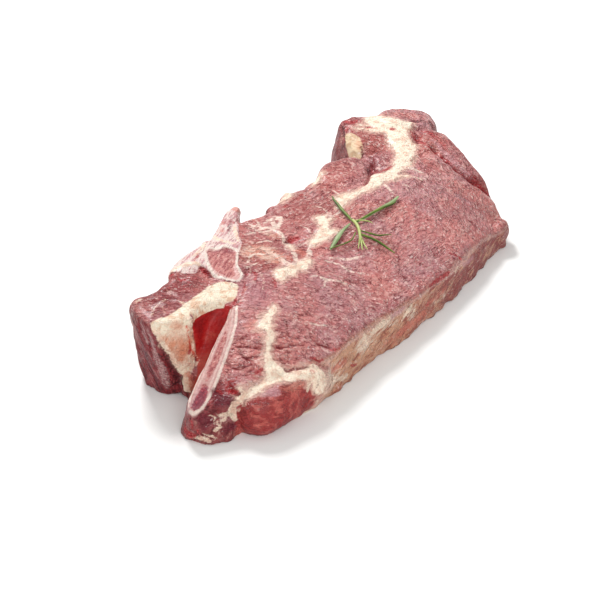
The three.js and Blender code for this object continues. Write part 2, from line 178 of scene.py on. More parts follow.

# %% [markdown]
# ## Webs, clefts and stains
# Thin webs of connective tissue branch off the fat. Dark clefts show where the knife opened a
# muscle. Flesh isn't one red: it is warm near the bone, mauve where a smooth membrane covers it,
# maroon in the neck and the tip, and bright red where blood stands. Some of the mauve patches are
# painted sheen, the bluish shine of wet meat laid into the colour. Those stains have no edge, so
# they are soft round patches.

# %% The pattern of webs, clefts and stains
WEBS = traced("""
-33.7 -14.1 0.5, -31.8 -11.4 0.8, -31.8 -5.7 0.9, -30.3 -2.3 0.9, -26.9 -2.5 0.6;
-31.8 -5.7 0.7, -28.4 -11.7 0.8, -24 -14.4 0.9, -24.4 -8.5 0.7, -26.9 -2.5 0.6;
-39.7 -25.2 0.5, -37.4 -24.1 0.7, -32.2 -23.6 0.8, -30.3 -20.8 0.9, -27.8 -17.5 1, -24.5 -18.5 1.2,
-20.2 -19.4 1.1, -13.5 -22.8 0.9, -9 -25 0.9; -24.5 -18.5 0.8, -24 -14.4 0.8;
-35.4 -34 0.5, -33.4 -30.1 0.6, -30.2 -26.7 0.7, -27.2 -24.1 0.7, -24.8 -20.9 0.8;
-23.4 -38.4 0.4, -20.4 -34.6 0.6, -18.5 -31.9 0.7, -15.5 -31.7 0.5;
-46 -13 0.4, -43.9 -12.9 0.6, -39 -13.9 0.6, -34.9 -18.5 0.6, -36.7 -22.7 0.5;
-34.9 -18.5 0.6, -30.3 -20.8 0.7; 0.8 -25.5 0.9, 2.4 -22.4 1.2, 4.8 -17.6 1.5;
8.7 -18.1 1.2, 6.9 -20.5 1.4, 7.9 -25.4 1.4, 10.6 -30.2 1.4, 12 -37.8 1.6;
0.6 -32.2 1.4, 3.2 -36 1.2, 7.2 -40 1.4, 11 -47 1.6; -40.4 -20.6 0.7, -36.6 -20.8 0.6, -34.4 -18.6 0.7;
-37.2 -25.5 0.6, -33.1 -24.7 1, -29.7 -21.5 1, -28.4 -17.9 1;
-33.7 -9.8 1, -30.5 -7.5 1.2, -29.4 -3.6 0.8, -25.4 -6.9 0.8, -22.1 -13.5 0.8, -21 -18.2 0.8;
-30.2 -8.1 1.2, -25.5 -14 1.2, -21 -18.2 1.4, -15.2 -21.5 1.3, -10.3 -24.4 1, -4.1 -30 1.4;
-9.1 -41 0.7, -3.1 -44.8 1.2, 4.5 -48.3 1.6, 9.9 -49.9 2;
-15.6 -62.8 0.5, -16.9 -55.3 0.6, -15.8 -48.9 0.6, -11.7 -47.2 0.5;
-11.7 -67.6 0.5, -9.7 -64 0.5, -8.9 -58.3 0.5; -12.1 -4.3 0.4, -7 -5.1 0.5, -1.1 -8.7 0.6;
-16.1 21.7 0.4, -9.9 21.5 0.6, -3.7 18.8 0.6; 0.1 16.4 0.5, 0.2 23.6 0.7, -0.5 31.1 0.5;
23.7 -48.1 0.3, 26.5 -45.5 0.5, 31.5 -42.3 0.7, 36.6 -39 0.6, 41.3 -35.3 0.3;
33.6 -51.4 0.3, 32.9 -48.1 0.5, 31.2 -43.4 0.5;
21.7 -29.2 0.4, 27.3 -26.8 0.5, 33.3 -25 0.7, 38.4 -23.2 0.5, 44.2 -16.7 0.3;
22.2 -24.2 0.5, 28 -19 0.7, 33 -11.1 0.7, 36 -4.2 0.4; 44.4 -85.4 0.2, 50 -78.4 0.4, 56.2 -72.4 0.2;
9 101 1.4, 16 102 0.8, 22 100 0.4; 7 71 1, 12 69 0.7, 17 66 0.3; -22 48 0.2, -14 44 0.6, -9 40 0.8;
15 80 0.1, 20 80.5 0.4, 23 79 0.1""")
CLEFTS = traced("""
9 135.6 0.1, 14 133 0.8, 24 129.5 1.1, 33 128 1, 42 129.5 1, 50 132.5 1.2, 55 136 0.9;
-21 101 1.4, -15 93 2, -10 84 1.6, -8 76 1.2, -5 68 1.2, -3.5 62 0.8; -12 147 0.8, -8 141 1.8, -4 136 1;
-10 -24.6 0.2, -8 -23.4 0.5, -4.6 -23.6 0.1; -33 -87 1, -29 -87 1.6, -24 -88 0.9;
2 -100 0.4, 4 -104 0.8, 6 -107 0.4; -6 -72 0.1, -2 -80 0.3, 1 -88 0.2;
56 -93 0.8, 59 -90 1.2, 62 -88 0.7; -20 62 0.6, -17 64 1.1, -13 63 0.6; 8 132 0.5, 6 124 0.7, 8 118 0.4;
30 -149 0.8, 35 -152 1.2, 39 -150 0.8; 35.5 -160 0.6, 36.5 -157 1; 36 -96 0.4, 43 -104 0.6, 48 -108 0.4;
24 -130 0.4, 30 -133 0.7, 35 -132 0.4; 22 -139 0.4, 28 -141 0.7, 34 -139 0.4""")
# The fourth list holds mauve patches: smooth membrane in part, painted sheen in part.
WARM, DEEP, BLOOD, LILAC_AND_SHEEN, PALE = STAINS = traced("""
-22 15 24 34 0.9, -18 -42 22 18 0.8, -5 -57 13 9 0.9, -30 75 16 20 0.8, -30 120 22 18 0.9, 5 -33 4 7 1,
25 145 30 10 0.4, 2 88 5 9 0.8, 22 -4 7 10 0.7, -6 30 8 14 0.5;
-34 -122 19 26 1, -30 -100 8 8 0.5, 29 -166 12 8 0.9, 27 -156 6 7 0.8, -58 130 8 14 0.8,
25 152 40 8 0.5, 40 140 16 8 0.5, -20 98 5 8 0.3;
-7.5 -21 3 2.6 0.8, -29 -87.5 5 2.2 1, -42 -107 4 3.5 0.8, -33 12 1.6 3.2 0.9, -32 30 2 3 0.6,
22 3 3 5 0.6, -4 85 4 7 0.8, -17 64 2 1.6 0.9, 34 -152 6 3 0.9, 46 131 9 3 1, -8 141 3.5 6 0.8,
6 -103 4 4 0.7, -56 -9 2.5 5 0.6, -25 136 4 2.5 0.5, 31 -148 5 3 0.5, 70 26 3 10 0.5, -5 66 3 6 0.6;
7 -87 15 14 0.95, 4 -70 8 6 0.4, -16 97 5 9 0.7, 50 40 16 30 0.45, 55 100 14 18 0.55, 54 -137 5 9 0.8,
30 -60 16 24 0.35, 24 24 4 4 0.5;
-20 -24 9 4 0.6, -31 -10 4 6 0.4, -13 -44 9 7 1, -3 -48 8 6 1, -20 -54 6 6 0.5, -16 20 6 4 0.3,
40 -36 9 4 0.35, 16 103 8 3 0.4, 50 -128 6 4 0.7, 36 -90 7 8 0.25, -32 -119 4 3 0.5, 24 -112 5 6 0.5,
-24 -48 5 6 0.3, 5 22 4 6 0.4""")
print(len(WEBS), "webs,", len(CLEFTS), "clefts,", sum(map(len, STAINS)), "stains")

# %% [markdown]
# ## Bone and gristle
# The saw cut through a vertebra. Its body shows as a ring of pale bone round a red, spongy core,
# and its fin runs off to the left. The rib is cut lengthwise, so a strip of marrow and, at its
# end, an oval of it show inside a pale rim. Gristle joins the two round the rib's hollow.

# %% The pattern of bone and gristle
BACKBONE, RING, VERTEBRA = traced("""
-6.8 -84, -7 -79.5, -9.5 -74.3, -13.3 -71.3, -17.3 -68.1, -21.8 -61, -25.9 -53.5, -30.3 -44.2,
-36.5 -37.5, -45.8 -25.3, -51.5 -19, -54.1 -12.1, -57 -4, -66 -5, -66 -24, -60 -44, -57 -64, -55 -92,
-52 -100, -44.3 -101, -38.1 -98.5, -34.5 -95.1, -32.2 -90.9, -33 -85.5, -27.3 -85.5, -21.9 -88,
-16 -88.2, -10.6 -86.5;
-43 -66.5, -37.1 -75.5, -32.3 -80.9, -27.3 -85.1, -21.9 -87.6, -16 -87.7, -10.6 -85.9, -6.8 -84.2,
-6.8 -79.5, -9.5 -74.3, -13.3 -71.3, -17.3 -68.1, -21.8 -61, -24.1 -55.3, -28.2 -53.9, -32.2 -54.6,
-36.1 -55.5, -38.2 -60.2, -41.5 -63;
-40.5 -68.6, -35.8 -73.7, -31.2 -78.7, -27.6 -81.4, -22.4 -83.6, -17.6 -84.1, -13.1 -83.7, -11.9 -80.6,
-13.9 -76, -17.8 -70.7, -23.1 -62.3, -25.9 -56.9, -30.1 -55.5, -33.9 -56, -35.6 -59.7, -38 -63.9""")
VERTEBRA_CAP, RIB, RIB_MARROW, RIB_OVAL = traced("""
-38 -66 0.6, -35 -60.5 1.2, -31 -58 1.8, -28 -59 1.4;
5 -107 2.6, 10 -120 4.8, 14 -136 5.6, 18 -154 6, 20 -166 5.6, 20.5 -172 3.6;
11 -124 0.6, 13 -130 1.8, 15.5 -140 2.2, 17.5 -150 1.8, 18.5 -156 0.8;
19.5 -160 2, 20.5 -165 2.8, 20.5 -170 2""")
GRISTLE, LIGAMENT, SKIRT, CAVITY = traced("""
-6.7 -85.5, -2.4 -90, 0.6 -97.5, -1.5 -103.5, -5.3 -108.7, -7.8 -113.5, -9.8 -119, -11 -123.5,
-11.5 -127.5, -9.5 -131.5, -6 -137, -4 -153, -25 -154, -21 -136, -19.5 -119, -18.5 -104, -17 -93,
-13 -88.5; -31 100, -31 106, -35 113, -42 118, -49 118, -52 113, -45 102, -37 96;
61 -119, 60 -126, 57 -134, 54 -142, 48 -148.5, 42 -151.5, 39 -154, 40 -160, 48 -164, 60 -162, 69 -150,
75 -130, 75 -110, 66 -110;
8 -112, 12 -130, 10 -148, 0 -143, -3 -133, -8 -128, -14 -126, -14 -112, -9 -101, -2 -96, 4 -102""")
print("rib:", len(RIB), "points, backbone:", len(BACKBONE), "points")

# %% [markdown]
# ## What lies where on the walls
# The neck's front wall carries slanting bands of fat over maroon flesh. The outer wall is covered by
# a thin skin, cream near the front, with mauve flesh showing through farther on. On the walls the
# plan is of no use, so these patterns are drawn across and up: x and height on the front wall, y
# and height on the outer one.

# %% The pattern of the walls
FRONT_MAUVE, AMBER, OUTER_CREAM, OUTER_SALMON = WALL_STAINS = traced("""
-46 48 7 16 1, -38 50 6 5 0.8, -42 24 3 14 0.5; -16 38 5 8 0.9, -13 27 4 7 0.9, -9 34 2.5 9 0.5;
-58 18 13 6 1, -97 14 13 12 0.8, -33 19 9 4 0.7, -10 14 6 7 0.8, 22 9 14 4 0.6, -110 18 9 8 1,
45 17 8 4 0.3; -27 6 18 5 0.9, -62 5 12 4 0.5, 6 4 10 4 0.7, -88 3 6 3 0.8, 30 20 12 4 0.6""")
FRONT_WAY, OUTER_WAY = (0.6, -0.2, -0.77), (0, 1, 0.3)
print("soft patches on the walls:", sum(map(len, WALL_STAINS)))

# %% [markdown]
# ## Single strokes
# Some marks are one of a kind: the cream swirl on the tip, the orange slit in the gristle, the
# crimson gap at the far flap, the short creases in the muscle. Soft patches would blur them, so
# each is a line in space, with x, y, height and half width at every point, that lies on the skin.

# %% Strokes on the skin
STROKES = {
    "cream": traced("""
-52 -43 50.5 0.6, -48.6 -47.3 51.1 1.4, -39.1 -51.1 53.2 1.4, -30.5 -48.8 53 0.8;
-44.4 -100.7 55.1 0.8, -42.5 -93.7 55.8 1.6, -37.7 -87.7 56.4 1.8, -33.9 -85.2 55.3 0.8;
-48.1 -58.1 53.3 0.8, -43 -71.1 56.1 1.2, -41.7 -80.3 56.8 0.8;
-45.7 -29.5 52 1, -39.5 -37 52 1.4, -32.9 -44.4 52.2 0.8;
-24.4 -149.2 49.1 1, -20.6 -148.9 43.1 1.4, -17.4 -146.9 35.3 1.6, -14.6 -144.2 28.3 1.4,
-13.1 -141.5 20.2 1.6; -12.2 -131.5 49.2 1.4, -10.2 -130.8 48.8 2.2;
-9.8 -133.2 47.3 0.5, -9.6 -131 36.9 0.6, -8.1 -131.1 27.5 0.6, -5.3 -129.7 19.7 0.6;
-9.9 -136.7 21.4 1, -8.7 -134.5 18.4 1.2, -6.4 -131.5 18.2 1.4; -12.8 -136.9 42.7 1, -11.5 -135 41 1.4;
-28.3 -144.1 51.6 0.3, -30.8 -139.2 52 0.4, -31.7 -134.8 52.5 0.4, -31.5 -130.9 52.9 0.4,
-30.6 -126 53.2 0.3; -27.9 -133 52.5 0.1, -25.6 -135.2 51.6 0.3, -22.1 -137.2 51 0.1;
-24.4 -122.3 52.8 0.6, -20.8 -123.3 52.4 1.2, -18.5 -124.5 51.7 0.8;
-44.3 -137.6 53.1 0.5, -43.4 -135.9 53.5 1, -41.5 -134.4 53.7 0.6;
30.6 -166.7 17.2 0.4, 32.9 -165 15.3 0.9, 35.3 -161.4 14.5 1, 36 -164.4 13.3 0.8, 34 -168 12.6 0.7,
35.5 -168.8 10.8 0.9, 34.4 -171.2 9 0.8; 28.6 -169.3 16.5 0.2, 31.4 -167.1 15.1 0.5, 33 -169.6 12.8 0.5;
22.7 -177.4 3.7 0.3, 26.8 -176.9 3.8 1, 30.5 -175.9 4.6 1.2, 33.1 -175.1 2.9 0.9;
28.2 -175.7 7 0.2, 32.5 -174 6.4 0.6, 36.2 -171.5 4 0.3;
40.9 -150.5 22.7 1.2, 38.8 -153.7 20.3 1.6, 37.1 -156.6 17.9 2.2, 37.3 -158.1 13.8 2.4,
39.6 -158.4 11.3 1.6; 63.5 -116.2 25.7 1.2, 65.2 -117.9 21.6 1.6, 65.4 -120.4 18.8 1.2;
64.9 -111.8 25 1, 67.2 -113.3 20.3 1.6, 67.2 -115.6 17.4 1.4;
66.3 -106.2 23.7 1, 67.6 -107.2 19.8 1.4, 68.4 -111.8 17 1.2;
60.7 -110.6 27.8 1, 61.8 -107.8 27.4 1.2, 64.3 -106.2 25.2 1;
67.5 -58 22.8 1.6, 68.1 -55.4 17.9 2.6, 68.7 -59.8 16.2 1.4;
68.3 -50.9 20.6 1.4, 69.2 -41.5 21.5 1.8, 70.1 -31.9 21.8 1.4;
72.4 -19.5 15 1, 72.6 -13.5 17.7 1.4, 72.2 -7.8 19 1.2;
68.4 -94.6 12 1.8, 67.2 -84.5 7.2 2, 67.7 -78.3 5.9 1.4;
67.7 -43.9 23.1 0.5, 69 -36.2 23 0.6, 69.9 -29.2 23.1 0.5; 74.7 45.9 16.9 1, 74 49.8 18.5 1;
-40.9 -101.9 54.5 0.4, -38.5 -104.3 54.7 0.5, -34.9 -107.2 54.9 0.2;
12.2 91 48.9 0.5, 17.7 94 48 0.5, 23.6 95 46.5 0.3;
32.2 131.1 40.3 0.1, 39.9 131.5 36.1 0.2, 46.4 134.2 32.1 0.1;
-10.6 -62 51.1 0.3, -5.7 -74.8 49.5 0.5, -1.1 -83.7 49.6 0.6, 3.2 -94.7 49.4 0.4;
-0.8 -67.5 49.9 0.3, 5.1 -73.8 49.8 0.5, 8.8 -80.2 49.3 0.3"""),
    "silver": traced("""
-27.1 -150.4 47.2 0.8, -24.7 -149.9 39.2 1.1, -22.8 -149.8 31.9 1.3, -21.4 -149.4 25.1 1.9,
-19.4 -148.2 18.8 2.4, -18 -147.3 12 2.2, -17.4 -147.1 6 1.2;
-33.2 -147.9 48.4 0.8, -31.1 -148.6 42.5 1.5, -28.2 -149.7 37.1 1.2;
-44.2 -140.9 51.8 1.2, -43.6 -143.6 46.9 2, -44 -142.6 38 2, -40.5 -144.6 33 1.2;
-17.2 -145.6 27.6 0.3, -15.9 -144.3 24.1 0.6, -15.4 -144.2 21 0.2;
-33 -121.5 53.7 1, -31.6 -118.4 53.3 1.6, -27.7 -118.7 52.7 1.2"""),
    # Most dark strokes are dark flesh. Those in the notch beside the ligament, along the cleft in the far
    # lobe and in the gap at the gristle's foot are painted shadow.
    "dark": traced("""
-55.5 -20.1 51.1 0.3, -49 -31.1 51.8 0.5, -41.1 -43.1 52.4 0.2;
8 135.8 47 0.1, 18.4 132.4 44.1 0.2, 28 129 41.5 0.5, 36 128.6 37.4 0.7;
-19.6 -149.1 40.5 1.4, -17.4 -146.1 30.2 2.2, -15.4 -144 21.8 2.4, -13.6 -142.6 14 2, -12 -141.6 8 1.6;
-13.1 -141.8 15.8 0.8, -10.4 -141.4 12.5 1.2, -8.7 -142.8 6 1;
-10.2 -25 48.3 0.3, -7.9 -24.2 47.6 0.9, -4.6 -25.4 49 0.6;
-31 -147.9 27.6 0.8, -29.9 -146.1 16.8 1, -26.6 -146.2 7.9 1.2, -22.5 -147.3 1.9 1.2;
-39.6 -142.2 14.1 1, -36.5 -143.7 10.2 1.2, -34.4 -143.8 5.8 1; 27 -167.4 21 0.8, 26.5 -169.8 19 0.6;
36.1 -159.4 14.9 0.7, 37.1 -159.8 13.3 0.9;
20.6 -177.2 7.7 0.5, 26.3 -176.3 6.5 0.6, 30.4 -175.1 6.6 0.6, 33 -172.7 8.3 0.4;
-17.6 88.4 50 1, -13.8 86 49.1 1.6, -11.5 80.7 48.4 1.2, -7.9 73.2 47.6 1;
-34.2 109.9 49.5 0.8, -31.6 106.9 46.9 0.8, -30.2 103.8 44.8 0.6;
-20.1 154.5 53.9 1, -16.8 157.2 53.5 1.8, -14.5 161.7 53 1.2; -10.3 164.2 51.5 1.4, -8 163 49.5 1.2;
-57.4 124.3 53.1 1.4, -54.1 119.6 52.2 1, -51.5 116.5 50 1;
-21.4 -88.4 52.3 0.3, -14.5 -87.8 52 0.4, -9.2 -85.8 51.3 0.5, -6.9 -84.9 50.9 0.5;
-56.8 -16.9 51.3 0.5, -52.2 -23.7 51.6 0.6, -47 -32.1 52.1 0.6, -43.8 -37.4 52 0.4;
6.1 107.4 51 0.5, 5.7 112.8 50.8 0.7"""),
    "maroon": traced("""
25.4 -158.4 25.4 2, 30 -159 23.3 3, 34.5 -156.6 21.7 3, 30.1 -162.8 21.2 2;
23.5 -173.8 15.4 2, 27.2 -171.6 14.4 3.6, 30.4 -170.2 14 2.6, 28.6 -173.4 11.2 2.6;
38 -170 9 2, 40 -165 8 2.4, 40.5 -160 8 1.6; -41.8 -116 54.3 1.4, -43 -124 53.6 1.4, -43 -131 53.8 1.2;
-57 122 48 3, -59 124 40 4, -58 123 28 4, -56 121 14 4;
-33.9 -147.4 29.9 1.4, -32.3 -145.4 19.8 2, -29.3 -145.4 14.5 2, -22.6 -148.2 8 1.4"""),
    "crimson": traced("""
-16.1 146.1 51.4 0.6, -11.5 144.9 48.2 1.2, -3.7 137.8 48.4 0.9;
15.6 -173.9 11.6 1.4, 15.6 -175.6 6 2, 18.8 -177.2 4.6 2, 23.5 -177.2 4.6 1;
18.8 -175.9 15.8 0.7, 21.7 -177.1 12.6 0.8, 22.5 -176.8 8.8 0.7, 27.1 -175.7 7.7 0.5;
26.5 -156.1 25.7 1.2, 29.2 -156 24.5 1; 31.4 -153 25 1.4, 35.2 -150.3 24.1 1.8;
-9 -134 28.1 1.2, -8.4 -133.3 25.8 0.8;
72.9 15.5 21.7 1, 72.8 23.6 21.2 1.3, 73.3 32.1 19.9 1.5, 73.8 39.2 19.4 1.1;
66.8 51.6 25.9 0.6, 68.9 54.6 24.3 0.7, 72.1 55.8 21.7 1, 73 57 20.5 0.7;
-57.9 129.2 54.8 1.6, -53 129.1 55.3 2, -51 132.7 55.1 1.2; -53.7 122.3 53.4 1.2, -52.1 119.5 52.8 0.8;
-11.9 88 47.9 1.3, -5.3 85.9 49.3 1.4, -2.1 89.9 50.6 1.6, -1.7 94.5 50.9 0.8;
-25.8 136.4 54 1.4, -23.4 137.8 54 1; -41.9 128.2 54 0.8, -39.7 131.2 54.1 0.8;
-6 152.2 50.8 0.7, -0.2 150.3 50.9 0.9, 6 149 50.1 0.7;
-12.4 142.9 50 1, -7.9 141.7 48.1 1.3, 3.2 134.5 50.6 0.9, 10.4 135.3 46.1 0.9, 18.4 133 44.1 1,
26.8 129.9 42 0.9, 35.9 129.5 37.4 1;
-11.1 152 50.2 0.5, -2 149.3 50.7 0.8, 5.8 144.3 50.6 0.8, 14.8 141.8 49.2 0.5;
-44.2 -106.2 50.5 1.2, -43.6 -104.4 53.4 2.2, -42.8 -103 54.6 1.2;
-39.6 -102.6 54.9 0.5, -34.3 -105.5 55 0.9, -31.2 -102 55.2 0.6;
-38.6 -84.8 56.8 0.6, -39.5 -79.4 57 1.1, -40.9 -75 56.5 0.6;
21.8 130.5 43.2 0.4, 29.8 129.9 40.2 0.6, 36.2 129.7 37.1 0.8, 42 130.8 33.9 1.2, 47.4 131.8 29.8 1.6,
50.9 133.9 26 1.6, 53.9 134.2 24.8 1.1; -9.4 -22 48.4 1.1, -7.2 -20.2 48.8 2, -4.8 -17.8 49.2 1.5;
-10 -68.1 49.8 0.8, -7.7 -73.1 48.8 1.1, -2.5 -82.3 50.2 1, 2.5 -93 49.5 0.7;
-7.5 -66.7 50.8 0.6, -3.5 -68.7 49.6 0.9, -0.4 -74.8 50.4 0.6;
5.4 -64.8 50.5 0.5, 10.3 -69.7 49.4 0.9, 14.8 -74 48.8 0.6;
0.6 -97 49 0.6, 2 -101.5 48.2 1.2, 3 -105.5 47 1;
-32.4 -86.4 54.4 1.4, -30.3 -87.2 53.3 1.8, -26.8 -88 52 1.2; 68.9 -74.4 10.7 1.2, 69 -68.6 8.1 0.9;
74.2 5.8 10.9 0.9, 74.6 12.9 10.9 0.9;
58.3 -105.6 31.3 0.6, 60.4 -103.4 29.3 1.1, 62.7 -101.4 27.6 0.8, 63.2 -98.8 27.7 0.4;
59.9 -88.9 28.8 0.5, 63.2 -88.6 28.4 0.8, 64.7 -84.1 27.1 0.6, 65.8 -78.9 26.7 0.3;
40.5 -136.9 31.6 0.9, 42 -132.7 32.5 1.1"""),
    "crease": traced("""
61.7 -111.7 27.4 0.1, 63.8 -113.7 25.6 0.3, 65.4 -117.6 22.9 0.1;
63.9 -107.9 26 0.1, 66.7 -108.7 23.8 0.3, 67.6 -111 19.9 0.3, 68 -114.6 16.5 0.1;
39.8 -117.2 39.2 0.5, 43.4 -115.2 37.9 0.7, 47.1 -110 37.7 0.6, 50.7 -104.5 36.5 0.6,
52.5 -101.9 35.7 0.4; 43.7 -123.3 34.8 0.4, 46.8 -120.6 33.7 0.6, 48.2 -117.3 33.7 0.4;
50.3 -122.8 31.2 0.4, 53.1 -122.9 29.4 0.7, 55.4 -118.8 29.2 0.6, 58.4 -114.8 28.7 0.6,
60.3 -111.1 28 0.4; 36.9 -84.8 42.7 0.4, 39.1 -82.7 41.9 0.6, 41.6 -77.5 40.3 0.5;
39.4 -109.9 42 0.4, 43 -105.6 40.2 0.5, 46.6 -102.4 38.9 0.7, 48.1 -100.4 38.3 0.4;
51.2 -99.7 36.9 0.6, 52.2 -99.1 36.1 0.7;
21.9 -129.7 39.3 0.4, 27.2 -127 39.7 0.6, 32.2 -125 39.5 0.6, 34.9 -121.6 40 0.4;
28.3 -133 36.3 0.4, 31.3 -132.2 36.2 0.7, 34.4 -129.5 36.5 0.5, 35.9 -127.5 36.6 0.4;
27.3 -139.2 33.2 0.5, 32.2 -137.9 33.5 0.6, 36.1 -134.2 34.1 0.5;
34.8 -138.7 32 0.4, 37.4 -138.4 32.1 0.6, 38.3 -133.5 33.8 0.5;
20.6 -126.6 41.3 0.5, 22.7 -123.4 42.4 0.6, 24.6 -119.7 43.8 0.5;
42.2 91.8 38.9 0.4, 47.7 90.4 35.8 0.5, 51.7 91.6 33.4 0.4;
59.7 94 27 0.5, 66.2 96.4 21.6 0.7, 68.7 97.5 19.5 0.5;
-6.5 -78.9 50.7 0.6, -9.8 -70.5 50.3 0.6, -10.9 -64.3 51.1 0.5;
-1.1 -84.8 49.8 0.5, -5.1 -80.9 50.8 0.6;
56.3 -134.4 26.3 0.5, 58.3 -132.3 25.4 0.6, 59.6 -127.7 25.3 0.5"""),
    # Mauve strokes: membrane colour, and painted highlights on the far flap and the walls.
    "lilac_and_sheen": traced("""
-29.4 105.9 45.6 1.1, -21.5 97.6 50.1 1.1, -18.3 96.2 49.3 0.9;
50.8 -145.2 24.6 1.4, 53.9 -141.7 24.8 2.2, 56.2 -138.6 24.9 2;
70.3 -29.8 22.2 1, 70.8 -21.9 21.7 1.2, 71.4 -14.1 21.4 1;
75.1 57.4 16.5 1.4, 74.5 64.2 15.1 1.6, 74.5 71.3 14.5 1.2;
3.3 142 51 0.9, 14.5 138 47.2 1.2, 28.1 132.5 42.7 1.2, 38.5 132 38.4 0.8;
-43.8 152.5 53.8 0.6, -37.5 159.7 54.9 1, -29.8 166.7 53.3 1, -19.1 170.8 52.5 0.6;
44.4 103.3 37.1 1.3, 48.4 106.2 33.8 1.1, 51.6 108.8 31.2 0.9;
-13.7 154.4 52.5 0.9, -11.6 157.9 52.3 1, -8.9 158.9 50.2 0.9;
16.8 -160.3 27.5 0.8, 18.5 -171.3 21.9 1, 17.2 -174.8 17.1 1.2"""),
    "salmon": traced("""
56.7 -135.2 25.8 1.2, 59.3 -131.7 24.7 2, 61.4 -126.1 23.6 2.4, 62.8 -121.7 22.9 2;
-7.4 -138.5 15.4 1.4, -4 -140.4 12.6 1.6, -2.5 -140.8 8.3 1.4;
71.7 -22.9 6.2 1.6, 73.3 -13 7.3 2.2, 73.9 -1.2 7 2.2, 74.7 5 8.4 1.4;
-60.5 -8.6 51 2.4, -57 -9.2 50.8 2.6; 3.8 -32.4 50 1.8, 6.5 -31.6 49.5 2.5, 9 -34.6 49 1.8;
2.6 -41.6 50 1.2, 5.8 -43.6 50 1.6; -60.5 -20 50.9 1, -59.6 -26 51 1.2;
63.4 -111.6 26.5 1.2, 64.3 -110.9 25.7 0.9; -56.3 -28 51 1, -54.6 -30.5 51.2 0.9;
-54.7 -33.8 51.3 0.8, -48.6 -38.2 51.7 0.8; 66.8 -94.4 17.8 1.8, 67.3 -88.2 18 1.8, 68.2 -81.6 17.5 1.4;
74.6 10.4 10.7 1, 74.9 22.9 10.9 1.2, 75 33.5 11.4 1"""),
    "amber": traced("""
-14.6 -139 48 2.2, -13.5 -137.3 45.5 2; -12.4 -138.5 37 2.2, -11.5 -138.4 31 3, -10.6 -138 26.4 2.4;
-38 112 51 0.8, -34.5 108 49.5 1; -8.4 -140.2 14.4 1.4, -5.4 -141.4 10 1.8, -4.4 -141.8 6 1.4"""),
    "slit": traced("""
-10.8 -133.2 46 0.4, -10.4 -133.2 38.6 0.6, -9.2 -133.2 31 1.1, -8 -131.6 26 1, -6 -130 21.6 0.7"""),
    "rib_end": traced("""
20.6 -159.9 26.5 1.6, 20.7 -163.1 24.9 2.6, 21.2 -167 23.1 3, 21 -170.4 21.6 2.6, 21.5 -173.2 20.6 1.4"""),
}
print("strokes:", ", ".join(f"{len(lines)} {name}" for name, lines in STROKES.items()))

# %% [markdown]
# ## One skin over flesh, fat and bone
# In the solids each piece has a hair of air round it. On the plate there is none: fat, gristle and
# bone are grown into the flesh. The pieces could be shown side by side, but the gaps would read as
# black lines. So copies of them swell by a quarter of a millimetre, and a voxel remesh turns the
# heap into one even skin, which the Smooth modifier frees of facets.

# %% Remesh the slice
SKIN_VOXEL = 0.00128  # metres, like every length that goes to Blender
SWELL = 0.00025
SMOOTH_ROUNDS = 7
GROWN_IN = ["meat", "backbone", "rib_bone", "gristle", "neck_ligament",
            "far_fat_seam", "middle_fat_seam", "front_fat_seam", "skirt_fat"]


def as_mesh(shape, name):
    """The mesh of a shape, which is let go."""
    mesh = bpy.data.meshes.new(name)
    shape.to_mesh(mesh)
    shape.free()
    return mesh


def swollen_copy(node):
    """A mesh like a solid's, with its loose triangles joined up, swollen by a little."""
    shape = bmesh.new()
    shape.from_mesh(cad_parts[node].data)
    bmesh.ops.remove_doubles(shape, verts=shape.verts, dist=1e-6)
    shape.normal_update()
    for vert in shape.verts:
        vert.co += vert.normal * SWELL
    return as_mesh(shape, node + "_copy")


def new_piece(name, mesh):
    """A named object for a mesh, linked into the scene."""
    piece = bpy.data.objects.new(name, mesh)
    bpy.context.scene.collection.objects.link(piece)
    return piece


def apply_modifiers(piece):
    """Gives the piece the mesh that its modifiers make, with soft shading."""
    bpy.context.view_layer.update()
    done = bpy.data.meshes.new_from_object(piece.evaluated_get(bpy.context.evaluated_depsgraph_get()))
    piece.modifiers.clear()
    piece.data = done
    for face in done.polygons:
        face.use_smooth = True


heap = bmesh.new()
for node in GROWN_IN:
    heap.from_mesh(swollen_copy(node))
beef = new_piece("beef_slice", as_mesh(heap, "beef_slice"))
remesh = beef.modifiers.new("Skin", "REMESH")
remesh.mode = "VOXEL"
remesh.voxel_size = SKIN_VOXEL
smooth = beef.modifiers.new("Facets off", "SMOOTH")
smooth.factor = 0.5
smooth.iterations = SMOOTH_ROUNDS
apply_modifiers(beef)
print("skin:", len(beef.data.vertices), "points,", len(beef.data.polygons), "faces")


# %% Measure the skin
FACING = (0.35, 0.8)  # from a wall to a cut face, as the upright part of the normal


def read_skin(mesh, what):
    """Positions or normals of a mesh's points, one row for each."""
    flat = np.empty(len(mesh.vertices) * 3, np.float32)
    mesh.vertices.foreach_get(what, flat)
    return flat.reshape(-1, 3).astype(float)


skin = read_skin(beef.data, "co") * 1000  # millimetres, as the patterns
normal = read_skin(beef.data, "normal")
plan = skin[:, :2] + PLAN_ZERO
height = skin[:, 2]
upward = ease(normal[:, 2], *FACING)
downward = ease(-normal[:, 2], *FACING)
wall = 1 - ease(np.abs(normal[:, 2]), *FACING)
wobble = np.stack([lumps(skin, 6, seed) + 0.6 * lumps(skin, 2.6, seed + 1) for seed in (1, 3)], 1)
fat = deepest(plan + 1.0 * wobble, FAT_BANDS, FAT_OUTLINES)
web = deepest(plan + 0.7 * wobble, WEBS)
cleft = deepest(plan + 0.7 * wobble, CLEFTS)
spine = outline_depth(plan + 0.5 * wobble, BACKBONE)
rib = band_depth(plan + 0.25 * wobble, RIB)
vertebra = outline_depth(plan + 0.4 * wobble, VERTEBRA)
marrow = deepest(plan + 0.4 * wobble, [RIB_MARROW, RIB_OVAL])
gristle = outline_depth(plan + 0.8 * wobble, GRISTLE)
